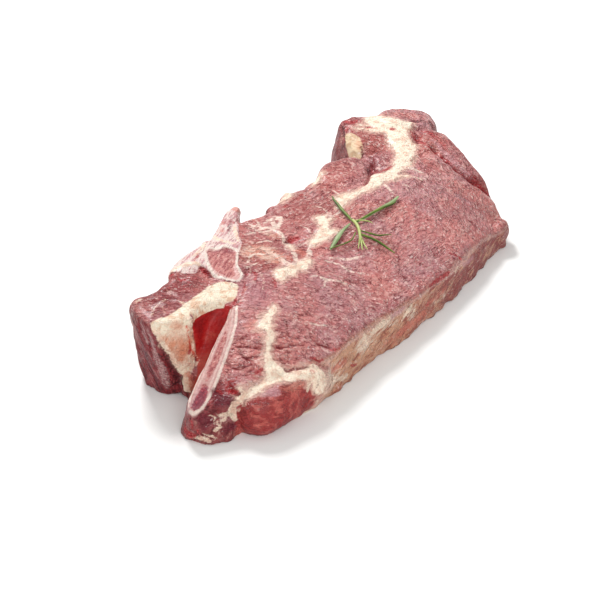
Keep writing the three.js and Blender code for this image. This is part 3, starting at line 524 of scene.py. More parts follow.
ligament = outline_depth(plan + 0.6 * wobble, LIGAMENT)
cavity = outline_depth(plan, CAVITY)
ring = outline_depth(plan + 0.4 * wobble, RING)
cap = band_depth(plan + 0.3 * wobble, VERTEBRA_CAP)
space = np.column_stack([plan, height]) + 0.3 * np.column_stack([wobble, wobble[:, :1]])
stroke = {name: deepest(space, lines) for name, lines in STROKES.items()}
print("skin measured: fat covers", f"{np.mean(fat > 0):.0%} of its points")

# %% [markdown]
# ## Where each feature reaches
# The seams of fat and the backbone run through the whole slice, so they show on both cut faces.
# The rib, the webs and the clefts belong to the upper face. The gristle is a plate along the rib
# cavity, whose lower edge rises to the left on the front wall. The cap of fat hangs over the
# skirt down to a slanting edge. Limiting a feature by height or by the way that the skin faces
# keeps it where it belongs.

# %% Limit the features
# The numbers are places on the plan and heights, in millimetres.
top = ease(height, 12, 18) * upward
through = np.maximum(upward, downward)
front_wall = wall * ease(-plan[:, 1], 132, 140) * ease(-plan[:, 0], 0, 6) * ease(plan[:, 0], -56, -50)
skirt = ease(outline_depth(plan + wobble, SKIRT), -1, 1)
outer_reach = plan[:, 0] + 0.22 * np.maximum(-90 - plan[:, 1], 0)
outer_wall = wall * ease(outer_reach, 52, 60) * (1 - skirt) * ease(plan[:, 1], -156, -148)
across = np.stack([plan[:, 0], height], 1) + 0.8 * wobble
along = np.stack([plan[:, 1], height], 1) + 2.0 * wobble
cap_foot = np.interp(plan[:, 1], (-126, -122, -117, -112, -102), (25.5, 18.6, 15.5, 12.7, 7.4))
cap_foot += 1.5 * wobble[:, 0]
hanging = ease(plan[:, 1], -126, -122) * ease(height, cap_foot - 1, cap_foot + 1) * ease(plan[:, 0], 50, 55)
fat = np.where(through > 0.3, fat, fat - 4 * wall * (1 - hanging))
web = np.where(upward > 0.3, web, -FAR)
cleft = np.where(upward > 0.2, cleft, -FAR)
rib = np.where(height > 8, rib, -FAR)
left_limit = -25 + (51 - height) * 0.36
face_only = -129 - plan[:, 1] + 50 * ease(height, 44, 47.5)
gristle = np.minimum(gristle + 2 * wall, 0.8 * (plan[:, 0] - left_limit) + 1.4 * wobble[:, 0])
gristle = np.where(height > 5, np.minimum(gristle, face_only + 0.6 * wobble[:, 1]), -FAR)
taper = 0.8 * (plan[:, 0] + 52 - 0.9 * np.maximum(51 - height, 0))
ligament = np.minimum(ligament + 2 * wall, taper + wobble[:, 0])
bone = np.maximum(spine + 3 * wall, rib + 0.4)
marrow = np.where(upward > 0.4, np.maximum(marrow, vertebra), -FAR)
hollow = np.minimum(cavity + 1.5, 48 - height)
print("limits: skirt", f"{np.mean(skirt > 0.5):.1%},", "outer wall", f"{np.mean(outer_wall > 0.5):.1%}")

# %% [markdown]
# ## Relief of the skin
# Meat is never smooth. Muscle shows bundles of fibre a few millimetres wide, which turn round from
# the front of the slice to its far end. Fat swells in soft lumps, clefts sink, sawn bone is flat
# with a raised rim, and the torn membrane of the outer wall hangs in folds. Sculpting by hand
# would be hard to repeat, so each form is a height along the normal, and they are added up.

# %% Raise and sink the skin
GRAIN_ANGLES = (32, 80, 158)  # degrees from the X axis, at the front, the middle and the far end
SAW_ANGLE = 104  # of the marks that the saw left on bone
FRONT_TURN, FAR_TURN = (0.1, 0.5), (0.55, 0.9)  # shares of the way along the slice


def strands(points, direction, across, along, seed):
    """Chance bumps drawn out along a direction."""
    way = np.array(direction, float) / np.linalg.norm(direction)
    side = np.cross((0, 0, 1), way) if abs(way[2]) < 0.9 else np.array((0, 1, 0))
    rise = np.cross(way, side)
    turned = np.stack([points @ way, points @ side, points @ rise], 1)
    return lumps(turned, (along, across, across), seed)


def compass(angle):
    """A level direction at an angle from the X axis, in degrees."""
    return math.cos(math.radians(angle)), math.sin(math.radians(angle)), 0.0


turn = np.clip((plan[:, 1] + 60) / 170, 0, 1)
front_share = 1 - ease(turn, *FRONT_TURN)
far_share = ease(turn, *FAR_TURN)
middle_share = 1 - front_share - far_share
grain = sum(share * strands(skin, compass(angle), 2.8, 8, 11 + i) for i, (share, angle) in
            enumerate(zip((front_share, middle_share, far_share), GRAIN_ANGLES)))
lilac_and_sheen = glow(plan, LILAC_AND_SHEEN)
muscle_share = 1 - np.clip(ease(fat, -1, 1) + ease(bone, -1, 1) + ease(gristle, -1, 1), 0, 1)

# Muscle, fat, webs and clefts; every height is in millimetres.
soft_lumps = lumps(skin, 9, 21)
small_lumps = lumps(skin, 3.2, 22)
muscle_bumps = 0.42 * grain * (1 - 0.6 * lilac_and_sheen) + 0.42 * soft_lumps + 0.2 * small_lumps
relief = muscle_share * through * muscle_bumps
relief += ease(fat, -1, 2.4) * through * (0.3 + 0.5 * lumps(skin, 5.5, 23) + 0.4 * small_lumps)
relief += ease(web, -0.6, 0.6) * 0.3 - ease(cleft, -1.4, 0.8) * (0.9 + 0.7 * ease(cleft, 0, 2))

# Sawn bone: its marks, its rims and its marrow.
saw_marks = 0.5 * strands(skin, compass(SAW_ANGLE), 2.8, 16, 24)
relief += ease(spine, -1, 1) * top * (0.3 * ease(-vertebra, -0.5, 1.5) + saw_marks)
relief += top * 0.4 * np.exp(-((rib - 1.0) / 1.0) ** 2) - top * 0.35 * ease(marrow, -0.6, 1.2)
relief += top * 0.4 * np.exp(-((ring - 0.8) / 0.9) ** 2)

# Walls: the folds of the neck, the gristle and the membrane.
front_folds = 1.3 * strands(skin, FRONT_WAY, 3.6, 22, 25) + 0.4 * small_lumps
relief += front_wall * (1 - ease(gristle, -1, 1)) * front_folds
relief += wall * ease(gristle, -1, 1) * (0.9 * lumps(skin, 6, 26) + 0.4 * small_lumps)
relief += outer_wall * (1.2 * strands(skin, OUTER_WAY, 4.4, 20, 27) + 0.6 * lumps(skin, 4.5, 28))
plain_wall = wall * (1 - outer_wall) * (1 - front_wall)
relief += plain_wall * (0.5 * lumps(skin, (4, 4, 14), 29) + 0.3 * small_lumps)
relief *= 1 - 0.8 * ease(hollow, -0.5, 1.5)

# Strokes, and the ragged foot of the walls.
relief += 0.5 * ease(stroke["cream"], -0.8, 1) - 0.6 * ease(stroke["dark"], -0.8, 0.8)
relief -= 0.6 * ease(stroke["crease"], -0.8, 0.5) + 0.5 * ease(stroke["crimson"], -0.8, 0.8)
relief += np.exp(-(height / 5) ** 2) * wall * (1.4 * lumps(skin, (6, 6, 9), 30) + 0.5)

# The underside stays on the plane that the slice rests on.
underside = (height < 0.9) & (normal[:, 2] < -0.8)
skin = skin + normal * relief[:, None]
skin[:, 2] = np.where(underside, 0, np.maximum(skin[:, 2], 0))
beef.data.vertices.foreach_set("co", (skin / 1000).astype(np.float32).ravel())
beef.data.update()
print("relief from", f"{relief.min():.1f} to {relief.max():.1f} mm")

# %% [markdown]
# ## Handing the pattern to the finish
# The finish has to know where fat, bone or membrane lie. It could be painted as a picture, but a
# picture goes soft close up. The depths measured above are smooth numbers, so they are kept on
# the mesh as attributes, and the material turns them into crisp, frayed edges.

# %% Store the depths as attributes
KEPT_DEPTH = 8  # millimetres; the finish needs no more on either side of an edge
depths = {"fat": fat, "bone": bone, "marrow": marrow, "rib": rib, "ring": ring, "sinew": gristle,
          "ligament": ligament, "web": web, "cleft": cleft, "hollow": hollow,
          **{name + "_stroke": depth for name, depth in stroke.items()}}
shares = {"wall": wall, "outer": outer_wall, "front": front_wall * (1 - ease(gristle, -2, 0)),
          # The pale line where the outer wall rounds over onto the top is partly the membrane's pale edge and
          # partly a painted highlight, placed by the slope of the normal.
          "brink_highlight": outer_wall * np.exp(-((normal[:, 2] - 0.5) / 0.22) ** 2),
          "marrow_dark": ease(cap, -1.2, 1), "mauve": front_wall * glow(across, FRONT_MAUVE),
          "amber": wall * glow(across, AMBER), "cream": outer_wall * glow(along, OUTER_CREAM),
          "salmon": outer_wall * glow(along, OUTER_SALMON), "skirt": skirt, "warm": glow(plan, WARM),
          "deep": glow(plan, DEEP), "blood": glow(plan, BLOOD) * ease(height, 5, 12), "lilac_and_sheen": lilac_and_sheen,
          "pale": glow(plan, PALE), "turn": turn, "near": 1 - ease(plan[:, 1], -70, 60)}
shares.update((name, np.clip(depth, -KEPT_DEPTH, KEPT_DEPTH)) for name, depth in depths.items())
for name, values in shares.items():
    layer = beef.data.attributes.new(name, "FLOAT", "POINT")
    layer.data.foreach_set("value", np.asarray(values, np.float32))
print("attributes:", len(beef.data.attributes))

# %% [markdown]
# ## Shader maths as plain sums
# A finish is a tree of nodes, and drawing it by hand takes dozens of clicks. Here a small class
# wraps a socket, so that a sum or product written in Python adds the Math node for it. Colours and
# vectors have their own nodes, and one method makes any other node.


# %% A sheet of nodes
class Tone:
    """A socket that can be added, multiplied and compared."""

    def __init__(self, sheet, socket):
        self.sheet = sheet
        self.socket = socket

    def maths(self, operation, *values):
        return self.sheet.node("ShaderNodeMath", {"operation": operation}, values)

    def __add__(self, other):
        return self.maths("ADD", self, other)

    def __mul__(self, other):
        return self.maths("MULTIPLY", self, other)

    def __sub__(self, other):
        return self.maths("SUBTRACT", self, other)

    def __rsub__(self, other):
        return self.maths("SUBTRACT", other, self)

    __radd__ = __add__
    __rmul__ = __mul__

    def most(self, other):
        return self.maths("MAXIMUM", self, other)

    def ease(self, low, high):
        """0 below low, 1 above high, and smooth between."""
        return self.sheet.node("ShaderNodeMapRange", {"interpolation_type": "SMOOTHSTEP"},
                               {"Value": self, "From Min": low, "From Max": high})

    def line(self, width, level=0.5):
        """1 where the value crosses a level, falling to 0 within a width."""
        return self.maths("ABSOLUTE", self - level).ease(width, width * 0.25)


class Sheet:
    """The node sheet of one finish."""

    def __init__(self, name):
        self.material = bpy.data.materials.new(name)
        self.material.use_nodes = True
        self.tree = self.material.node_tree
        self.tree.nodes.clear()
        place = self.node("ShaderNodeTexCoord", out="Object")
        self.place = self.vector("SCALE", {"Vector": place, "Scale": 1000.0})

    def node(self, kind, settings=None, sockets=None, out=0):
        """Any node: its settings first, then the values or links of its sockets."""
        node = self.tree.nodes.new(kind)
        for key, value in (settings or {}).items():
            setattr(node, key, value)
        pairs = sockets.items() if isinstance(sockets, dict) else enumerate(sockets or [])
        for key, value in pairs:
            if isinstance(value, Tone):
                self.tree.links.new(value.socket, node.inputs[key])
            else:
                node.inputs[key].default_value = value
        return Tone(self, node.outputs[out]) if len(node.outputs) else None

    def vector(self, operation, sockets):
        return self.node("ShaderNodeVectorMath", {"operation": operation}, sockets)

    def attribute(self, name):
        return self.node("ShaderNodeAttribute", {"attribute_name": name}, out="Fac")

    def noise(self, size=1.0, detail=2.0, rough=0.5, place=None, seed=0.0, out=0):
        """Chance values from 0 to 1 with marks about that many millimetres wide."""
        return self.node("ShaderNodeTexNoise", {"noise_dimensions": "4D"},
                         {"Vector": place or self.place, "W": seed, "Scale": 1.0 / size, "Detail": detail,
                          "Roughness": rough}, out=out)

    def stirred(self, size, reach, seed):
        """The place, pushed about by up to a reach, so that what is drawn on it bends."""
        push = self.vector("SUBTRACT", [self.noise(size, seed=seed, out="Color"), (0.5, 0.5, 0.5)])
        return self.vector("ADD", [self.place, self.vector("SCALE", {"Vector": push, "Scale": 2.0 * reach})])

    def streaks(self, way, along, across, seed, detail=3.0, rough=0.6, place=None):
        """Chance values drawn out along a direction, with marks of a length and a width."""
        turned = tuple(Vector(way).to_track_quat("X", "Z").to_euler())
        laid = self.node("ShaderNodeMapping", {"vector_type": "TEXTURE"},
                         {"Vector": place or self.place, "Rotation": turned,
                          "Scale": (along, across, across)})
        return self.noise(1.0, detail, rough, laid, seed)

    def blend(self, first, second, share):
        """One colour into another."""
        colours = [c if isinstance(c, Tone) else paint(c) for c in (first, second)]
        return self.node("ShaderNodeMix", {"data_type": "RGBA"},
                         {0: share, 6: colours[0], 7: colours[1]}, out=2)

    def layers(self, colour, *coats):
        """Tones laid over a colour one by one, each with its share."""
        for tone, share in coats:
            colour = self.blend(colour, tone, share)
        return colour

    def finish(self, colour, roughness, height, coat=0.0, coat_roughness=0.3, soft=0.0):
        """Closes the sheet with a shader whose bump is given in millimetres."""
        bump = self.node("ShaderNodeBump", None, {"Strength": 1.0, "Distance": 0.001, "Height": height})
        skin = self.node("ShaderNodeBsdfPrincipled", None,
                         {"Base Color": colour, "Roughness": roughness, "Normal": bump,
                          "Specular IOR Level": 0.3, "Coat Weight": coat, "Coat Roughness": coat_roughness,
                          "Subsurface Weight": soft, "Subsurface Scale": 0.002,
                          "Subsurface Radius": (1.0, 0.35, 0.25)})
        self.node("ShaderNodeOutputMaterial", None, {"Surface": skin})
        return self.material


def paint(rgb):
    """A screen colour, 0 to 255, as the linear colour that a shader takes."""
    return tuple(((c / 255 + 0.055) / 1.055) ** 2.4 if c > 10 else c / 3294.6 for c in rgb) + (1.0,)


# %% [markdown]
# ## The finish of raw beef
# Cut muscle is mauve red. Its bundles end in small lumps of slightly different reds, with short
# dark creases between them and a few pale threads. Sparse pale flecks are painted into the colour
# as highlights where wet points would catch the light. A plain noise looks like felt. Lines come
# from a trick: where a smooth noise crosses one level it leaves a thin curved contour, and a second
# noise shows only parts of it.

# %% Muscle
raw = Sheet("raw_beef")
field = {name: raw.attribute(name) for name in shares}
bent = raw.stirred(9.0, 2.6, 1.0)
to_middle = field["turn"].ease(*FRONT_TURN)
to_far = field["turn"].ease(*FAR_TURN)


def fibre(along, across, seed):
    """Noise drawn out along the fibres, which turn from the front to the far end."""
    front, middle, far = (raw.streaks(compass(angle), along, across, seed + i, 2.0, 0.55, bent)
                          for i, angle in enumerate(GRAIN_ANGLES))
    return front * (1 - to_middle) + middle * (to_middle - to_far) + far * to_far


coarse = fibre(8.0, 2.8, 3.0)
slender = fibre(4.5, 1.6, 7.0)
fine = raw.noise(1.6, 2.0, 0.55, seed=11.0)
patches = raw.noise(11.0, seed=12.0)
broad = raw.noise(26.0, seed=13.0)
lumpy = coarse + fine * 0.5
smoothness = (field["lilac_and_sheen"] * 0.8 + field["wall"] * 0.6).ease(0.2, 1.2)
marks = coarse.line(0.022) * (raw.noise(5.0, seed=16.0) + patches * 0.5).ease(0.71, 0.82)
marks = marks * (1 - smoothness * 0.6)
dark_fibre = slender.ease(0.46, 0.36) * raw.noise(6.0, seed=17.0).ease(0.38, 0.54) * (1 - to_far * 0.3)
thread = slender.line(0.02, 0.58) * raw.noise(6.0, seed=14.0).ease(0.5, 0.6)
# Painted glints: sparse pale flecks that stand in for highlights on wet muscle.
painted_glint = raw.noise(1.9, 1.0, seed=51.0).ease(0.62, 0.7) * raw.noise(7.0, seed=52.0).ease(0.42, 0.56)
grains = raw.node("ShaderNodeTexVoronoi", {"feature": "F1"},
                  {"Vector": raw.stirred(3.0, 0.8, 15.0), "Scale": 0.45}, out="Color")
grain_tone = raw.node("ShaderNodeSeparateColor", None, [grains])
drawn = field["lilac_and_sheen"].ease(0.45, 0.85) * (1 - to_middle)
tendon = raw.streaks(compass(113), 14, 1.5, 18.0)
far_drawn = field["lilac_and_sheen"].ease(0.15, 0.5) * to_far
far_tendon = raw.streaks(compass(GRAIN_ANGLES[2]), 16, 1.8, 19.0)
flesh = raw.layers(
    raw.blend((204, 124, 118), (190, 130, 132), broad.ease(0.38, 0.6)),
    ((168, 84, 86), patches.ease(0.52, 0.66) * 0.45),
    ((160, 68, 60), field["warm"] * 0.9),
    ((226, 176, 166), grain_tone.ease(0.6, 1.0) * 0.4),
    ((176, 90, 84), grain_tone.ease(0.42, 0.0) * 0.45),
    ((240, 202, 192), lumpy.ease(0.82, 0.98) * 0.7),
    ((126, 32, 38), dark_fibre * (1 - smoothness * 0.6) * 0.7),
    # Mauve patches: membrane colour and painted sheen.
    ((175, 118, 126), field["lilac_and_sheen"] * 0.58),
    ((150, 74, 84), tendon.ease(0.5, 0.38) * drawn * 0.8),
    ((214, 166, 166), tendon.ease(0.56, 0.68) * drawn * 0.8),
    ((158, 84, 86), far_tendon.ease(0.5, 0.38) * far_drawn * 0.6),
    ((224, 180, 176), far_tendon.ease(0.56, 0.68) * far_drawn * 0.6),
    (raw.blend((124, 14, 24), (174, 54, 60), lumpy.ease(0.74, 0.9) * 0.6), field["deep"] * 0.88),
    (raw.blend((238, 200, 180), (218, 142, 120), coarse.ease(0.56, 0.42)),
     (field["pale"] + (fine - 0.5) * 1.2).ease(0.1, 0.8) * 0.8),
    ((118, 20, 28), marks * 0.9),
    ((246, 216, 204), thread * (1 - smoothness) * 0.7),
    ((170, 26, 28), (field["blood"] + (fine - 0.5) * 2.2).ease(0.3, 0.8) * 0.85))
print("muscle:", len(raw.tree.nodes), "nodes")

# %% [markdown]
# ## Walls of flesh
# The outer wall wears a thin skin: cream and tan near the front, mauve farther on, salmon where flesh
# shows at its foot. The neck's front wall is maroon with pale slanting streaks, and the back has
# upright ones. All are noise drawn out along the way that the tissue runs, and steered by the
# stored patches.

# %% Walls
streak = raw.streaks(FRONT_WAY, 15, 2.0, 21.0)
thin_streak = raw.streaks(FRONT_WAY, 9, 0.9, 22.0, 2.0)
veil = raw.streaks(OUTER_WAY, 16, 3.2, 23.0)
thin_veil = raw.streaks(OUTER_WAY, 8, 1.1, 24.0, 2.0)
curtain = raw.streaks((0.3, 0.1, 1), 18, 3.6, 25.0)
front_lines = streak + thin_streak * 0.6
outer_lines = veil + thin_veil * 0.6
plain = field["wall"] * (1 - field["outer"])
front_tone = raw.layers(
    (142, 34, 42),
    ((194, 126, 122), front_lines.ease(0.84, 0.98) * 0.6),
    ((82, 6, 18), front_lines.ease(0.8, 0.66) * 0.85),
    ((186, 122, 116), (field["mauve"] + (streak - 0.5) * 2.4).ease(0.4, 1.1) * 0.6))
outer_tone = raw.layers(
    (152, 80, 76),
    ((202, 138, 102), field["near"]),
    ((216, 166, 138), (veil + field["near"] * 0.1).ease(0.5, 0.62) * 0.7),
    ((148, 70, 66), outer_lines.ease(0.8, 0.64) * 0.65),
    ((190, 96, 84), (field["salmon"] + (thin_veil - 0.5) * 2.4).ease(0.2, 1.0) * 0.6),
    ((232, 208, 188), (field["cream"] + (thin_veil - 0.5) * 3.0).ease(0.3, 1.0) * 0.85))
# Skirt muscle: its own red, with lighter salmon streaks that are partly a painted highlight of the wet gloss.
skirt_tone = raw.layers(
    (158, 46, 44),
    ((208, 104, 92), (coarse + patches * 0.8).ease(0.88, 1.1) * 0.65),
    ((116, 24, 30), (coarse + patches * 0.6).ease(0.78, 0.6) * 0.6))
flesh = raw.layers(
    flesh,
    ((124, 40, 42), plain * 0.7),
    ((88, 14, 22), curtain.ease(0.48, 0.36) * plain * 0.7),
    ((202, 146, 132), (curtain + patches * 0.6).ease(0.88, 1.0) * plain * 0.65),
    (front_tone, field["front"]),
    (outer_tone, field["outer"]),
    # Pale crest of the outer wall: membrane edge and painted highlight.
    ((222, 178, 168), (field["brink_highlight"] + (fine - 0.5) * 0.8).ease(0.3, 0.9) * 0.6),
    (skirt_tone, field["skirt"] * 0.9))
print("with walls:", len(raw.tree.nodes), "nodes")

# %% Fat, webs and clefts
fray = (raw.noise(2.6, 4.0, 0.62, raw.stirred(2.0, 1.2, 31.0), 32.0) - 0.5) * 6.0
stain = raw.noise(4.6, 3.0, 0.6, seed=33.0)
pits = raw.noise(1.8, 3.0, 0.6, seed=34.0)
broken = raw.noise(3.4, seed=35.0).ease(0.34, 0.5)
fat_field = field["fat"] + fray
fat_share = fat_field.ease(-0.2, 0.6)
fat_tone = raw.layers(
    (250, 232, 210),
    ((226, 182, 158), stain.ease(0.48, 0.64) * 0.75),
    # Darker tan in the pits between lumps of fat is painted shade. It follows the noise that sinks the bump.
    ((196, 134, 110), (pits + stain * 0.4).ease(0.62, 0.48) * 0.42),
    ((228, 180, 162), fat_field.ease(2.0, 0.2) * 0.4))
flesh = raw.layers(
    flesh,
    ((206, 132, 120), fat_field.ease(-4.0, -0.4) * 0.4),
    ((230, 196, 178), (fat_field + slender * 3.0).ease(-2.0, 0.8) * 0.55),
    ((250, 224, 208), (field["web"] + fray * 0.4).ease(-0.7, 0.4) * broken * 0.85),
    ((128, 18, 24), (field["cleft"] + fray * 0.16).ease(-0.6, 0.6) * 0.85),
    (fat_tone, fat_share))
print("with fat:", len(raw.tree.nodes), "nodes")

# %% Bone, gristle and the rib cavity
pores = raw.noise(1.6, 2.0, 0.6, seed=41.0)
cloud = raw.noise(5.0, 3.0, 0.6, seed=43.0)
sawn = raw.streaks(compass(SAW_ANGLE), 9, 1.7, 42.0)
spongy = pores * 0.6 + sawn
bloom = sawn + pores * 0.3 + (patches - 0.5) * 0.5
marrow_share = (field["marrow"] + fray * 0.25).ease(-0.5, 0.8)
marrow_tone = raw.layers(
    (198, 122, 116),
    ((154, 62, 66), spongy.ease(0.74, 0.94)),
    ((226, 176, 166), spongy.ease(0.74, 0.6) * 0.7),
    ((134, 34, 50), field["marrow_dark"] * 0.8))
rib_field = field["rib"] + fray * 0.1
rib_tone = raw.layers(
    (238, 214, 202),
    ((200, 140, 136), rib_field.ease(0.8, 1.8) * (0.5 + pores * 0.6)),
    ((236, 212, 202), rib_field.ease(1.8, 2.6) * rib_field.ease(3.8, 3.0) * 0.4))
ring_field = field["ring"] + fray * 0.12
bone_share = (field["bone"] + fray * 0.18).ease(-0.4, 0.5)
bone_tone = raw.layers(
    (230, 206, 198),
    ((188, 122, 128), bloom.ease(0.62, 0.76) * (0.8 - field["wall"] * 0.45)),
    ((184, 96, 88), (patches + sawn * 0.6).ease(0.94, 1.02) * (0.6 - field["wall"] * 0.4)),
    ((214, 160, 152), ring_field.ease(1.2, 2.4) * (0.4 + sawn * 0.6)),
    ((238, 220, 208), ring_field.ease(-0.8, 0.2) * ring_field.ease(2.4, 1.2) * 0.9),
    (rib_tone, field["rib"].ease(-1.5, 0.0)),
    (marrow_tone, marrow_share * 0.9))
sinew_share = (field["sinew"] + fray * 0.3).ease(-0.5, 0.8)
sinew_tone = raw.layers(
    (246, 230, 206),
    ((226, 184, 152), cloud.ease(0.47, 0.64) * 0.8),
    ((208, 126, 94), (field["amber"] + (cloud - 0.5) * 1.6).ease(0.0, 1.2) * 0.8))
ligament_share = (field["ligament"] + fray * 0.3).ease(-0.5, 0.8)
hollow_share = (field["hollow"] + fray * 0.3).ease(-0.5, 1.0)
upright = raw.node("ShaderNodeSeparateXYZ", None, [raw.place], out="Z")
# The cavity turns paler and more orange towards its bottom and in patches. These orange patches are partly
# its own colour and partly a painted highlight on the glossy red.
murk = patches * 0.6 + cloud * 0.5 + upright.ease(44.0, 8.0) * 0.3
hollow_tone = raw.layers(
    (172, 22, 22),
    ((200, 96, 78), murk.ease(0.58, 0.96) * 0.8),
    ((112, 10, 16), murk.ease(0.62, 0.42) * 0.6))
flesh = raw.layers(
    flesh,
    (hollow_tone, hollow_share),
    (sinew_tone, sinew_share),
    (raw.blend((222, 198, 164), (186, 144, 112), cloud.ease(0.4, 0.66) * 0.8), ligament_share),
    (bone_tone, bone_share))
print("with bone:", len(raw.tree.nodes), "nodes")

# %% Strokes
frayed = fray * 0.4 + (fine - 0.5) * 2.6
for name, tone, share, low, high in (
        ("silver", raw.blend((212, 172, 168), (168, 104, 108), thin_streak.ease(0.46, 0.58)), 0.8, -1.2, 1.0),
        ("maroon", raw.blend((104, 14, 34), (150, 54, 68), fine.ease(0.5, 0.66) * 0.6), 0.85, -1.6, 1.2),
        # Mauve strokes, partly painted highlights.
        ("lilac_and_sheen", (198, 144, 148), 0.65, -1.2, 0.8),
        ("salmon", (208, 118, 102), 0.65, -1.2, 0.8),
        ("amber", (212, 124, 90), 0.6, -3.0, 2.0),
        ("slit", (206, 56, 30), 0.85, -0.6, 0.5),
        # Dark strokes: dark flesh, and painted shadow in narrow notches and gaps.
        ("dark", raw.blend((84, 14, 24), (142, 46, 54), fine.ease(0.5, 0.64)), 0.85, -0.6, 0.5),
        ("cream", raw.blend((246, 220, 196), (222, 172, 150), stain.ease(0.48, 0.62) * 0.6), 0.85, -0.6, 0.5),
        ("crimson", raw.blend((164, 18, 28), (216, 104, 104), fine.ease(0.52, 0.64) * 0.75), 0.85, -0.6, 0.5),
        ("crease", (126, 20, 28), 0.8, -0.6, 0.5),
        ("rib_end", raw.blend((128, 44, 64), (176, 50, 66), fine.ease(0.5, 0.64)), 0.9, -0.6, 0.5)):
    flesh = raw.blend(flesh, tone, (field[name + "_stroke"] + frayed).ease(low, high) * share)
# Where the painted glints may show: bare flesh, away from fat, bone, the cavity and smooth membrane.
bare = (1 - smoothness * 0.7) * (1 - fat_share) * (1 - bone_share) * (1 - hollow_share)
bare = bare * (1 - field["skirt"] * 0.7) * (1 - plain * 0.6)
flesh = raw.blend(flesh, (250, 226, 220), painted_glint * bare * 0.5)
print("with strokes:", len(raw.tree.nodes), "nodes")

# %% Gloss and fine relief of the beef
pale_share = fat_share.most(bone_share).most(sinew_share).most(ligament_share)
grain_height = coarse * 5.2 + slender * 3.4 + fine * 2.0 - 5.3 - marks * 0.4
grain_height = grain_height * (1 - smoothness * 0.55) * (1 - hollow_share * 0.7) * (1 - pale_share * 0.85)
wall_height = ((outer_lines - 0.8) * field["outer"] + (front_lines - 0.8) * field["front"]) * 4.0
bone_height = ((pores - 0.5) * marrow_share * 1.4 + (sawn - 0.5) * 3.0) * bone_share
fat_height = (pits * 2.4 + stain * 3.0 - 2.7) * pale_share
fat_height = fat_height * (1 - bone_share * 0.7) * (1 - ligament_share * 0.8)
gloss = 0.2 + raw.noise(4.0, seed=53.0) * 0.4 + pale_share * 0.12 + field["wall"] * 0.12
beef.data.materials.clear()
beef.data.materials.append(raw.finish(
    flesh, gloss, grain_height + wall_height + bone_height + fat_height, 0.12, 0.2, 0.06))
print("beef finish:", len(raw.tree.nodes), "nodes")

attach(beef, "root")
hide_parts(*GROWN_IN)

# %% [markdown]
# ## The rosemary sprig
# A sprig tip has a pale woody stalk and narrow needles with their edges rolled under. A tube
# would look like wire. So each needle starts as a straight rod with eight sides, is cut across
# into short lengths, flattened, given a girth at every length, and bent onto its line on the meat.

# %% Shape one needle
STALKS = traced("""
13 19 1, 18.5 15.6 1.15, 23 11 1.1, 26 7 0.9, 30 2 0.6, 33.5 -3 0.3;
24 9.5 0.7, 28.5 5.5 0.6, 32 2.5 0.5, 35.5 0.2 0.25; 15 19 0.7, 18 23 0.6, 22 25 0.4, 25 25 0.2;
25 8 0.5, 29 0.5 0.45, 31 -4 0.2""")
DARK_NEEDLES = traced("""
15 17 0.6, 9 20.5 1, 2 24.5 1.1, -7 31 0.9, -13 36.6 0.3;
15.5 16 0.5, 18 30 0.9, 20 40 1.1, 22 50 1.1, 23 58 0.5;
21.5 9 0.4, 24 -0.5 0.55, 22.5 -9 0.6, 19 -19 0.35; 23 12.5 0.6, 30 15.5 0.75, 34 19 0.75, 38.5 26 0.3;
24 9.5 0.7, 31 11.5 1.05, 39 13 1, 48 13.5 0.4""")
GREY_NEEDLES = traced("""
16 18 0.5, 18.5 32 0.9, 20 45 1.2, 21 56 1.25, 21 65 0.6;
14 15 0.6, 14.5 4 0.95, 16.5 -6 1.3, 19.5 -19 0.6""")
TAUT_ROUNDS = 6  # how often a sagging needle is pulled straight
FOOT = 2.2  # millimetres round a plan point whose highest skin carries a needle
upper_skin = skin[normal[:, 2] > 0.5]


def skin_height(x, y):
    """Height of the cut face near a plan point, in millimetres."""
    near = np.hypot(upper_skin[:, 0] - x, upper_skin[:, 1] - y) < FOOT
    return upper_skin[near, 2].max()


def route(points, lift):
    """A smooth line over the meat with its girth, from a pattern of x, y and girth."""
    guide = bend(points, steps=5)
    flat = guide[:, :2] - PLAN_ZERO
    rise = np.array([skin_height(x, y) + lift for x, y in flat])
    for _ in range(TAUT_ROUNDS):
        rise[1:-1] = np.maximum(rise[1:-1], 0.5 * (rise[:-2] + rise[2:]))
    return [Vector(p) / 1000 for p in np.column_stack([flat, rise])], guide[:, 2]


def strand(line, girths, width, thick):
    """A rod with eight sides, cut into short lengths and bent onto a line."""
    rod = bmesh.new()
    bmesh.ops.create_cone(rod, cap_ends=True, segments=8, radius1=1, radius2=1, depth=1)
    last = len(line) - 1
    for i in range(1, last):
        bmesh.ops.bisect_plane(rod, geom=[*rod.verts, *rod.edges, *rod.faces],
                               plane_co=(0, 0, i / last - 0.5), plane_no=(0, 0, 1))
    rib_line = rod.verts.layers.float.new("midrib")
    for vert in rod.verts:
        u, w, share = vert.co
        i = round((share + 0.5) * last)
        ahead = (line[min(i + 1, last)] - line[max(i - 1, 0)]).normalized()
        side = ahead.cross(Vector((0, 0, 1))).normalized()
        vert[rib_line] = 1 - abs(u)
        vert.co = line[i] + (side * (width * u) + side.cross(ahead) * (thick * w)) * 0.5 * girths[i]
    return rod


# %% Grow stalks and needles
def sprig_piece(name, paths, width, thick, lift):
    """All the strands of one kind as one piece."""
    shape = bmesh.new()
    for points in paths:
        shape.from_mesh(as_mesh(strand(*route(points, lift), width, thick), name))
    bmesh.ops.recalc_face_normals(shape, faces=shape.faces)
    piece = new_piece(name, as_mesh(shape, name))
    rounding = piece.modifiers.new("Rounding", "SUBSURF")
    rounding.levels = rounding.render_levels = 2
    apply_modifiers(piece)
    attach(piece, "root")
    print(name, len(piece.data.polygons), "faces")
    return piece


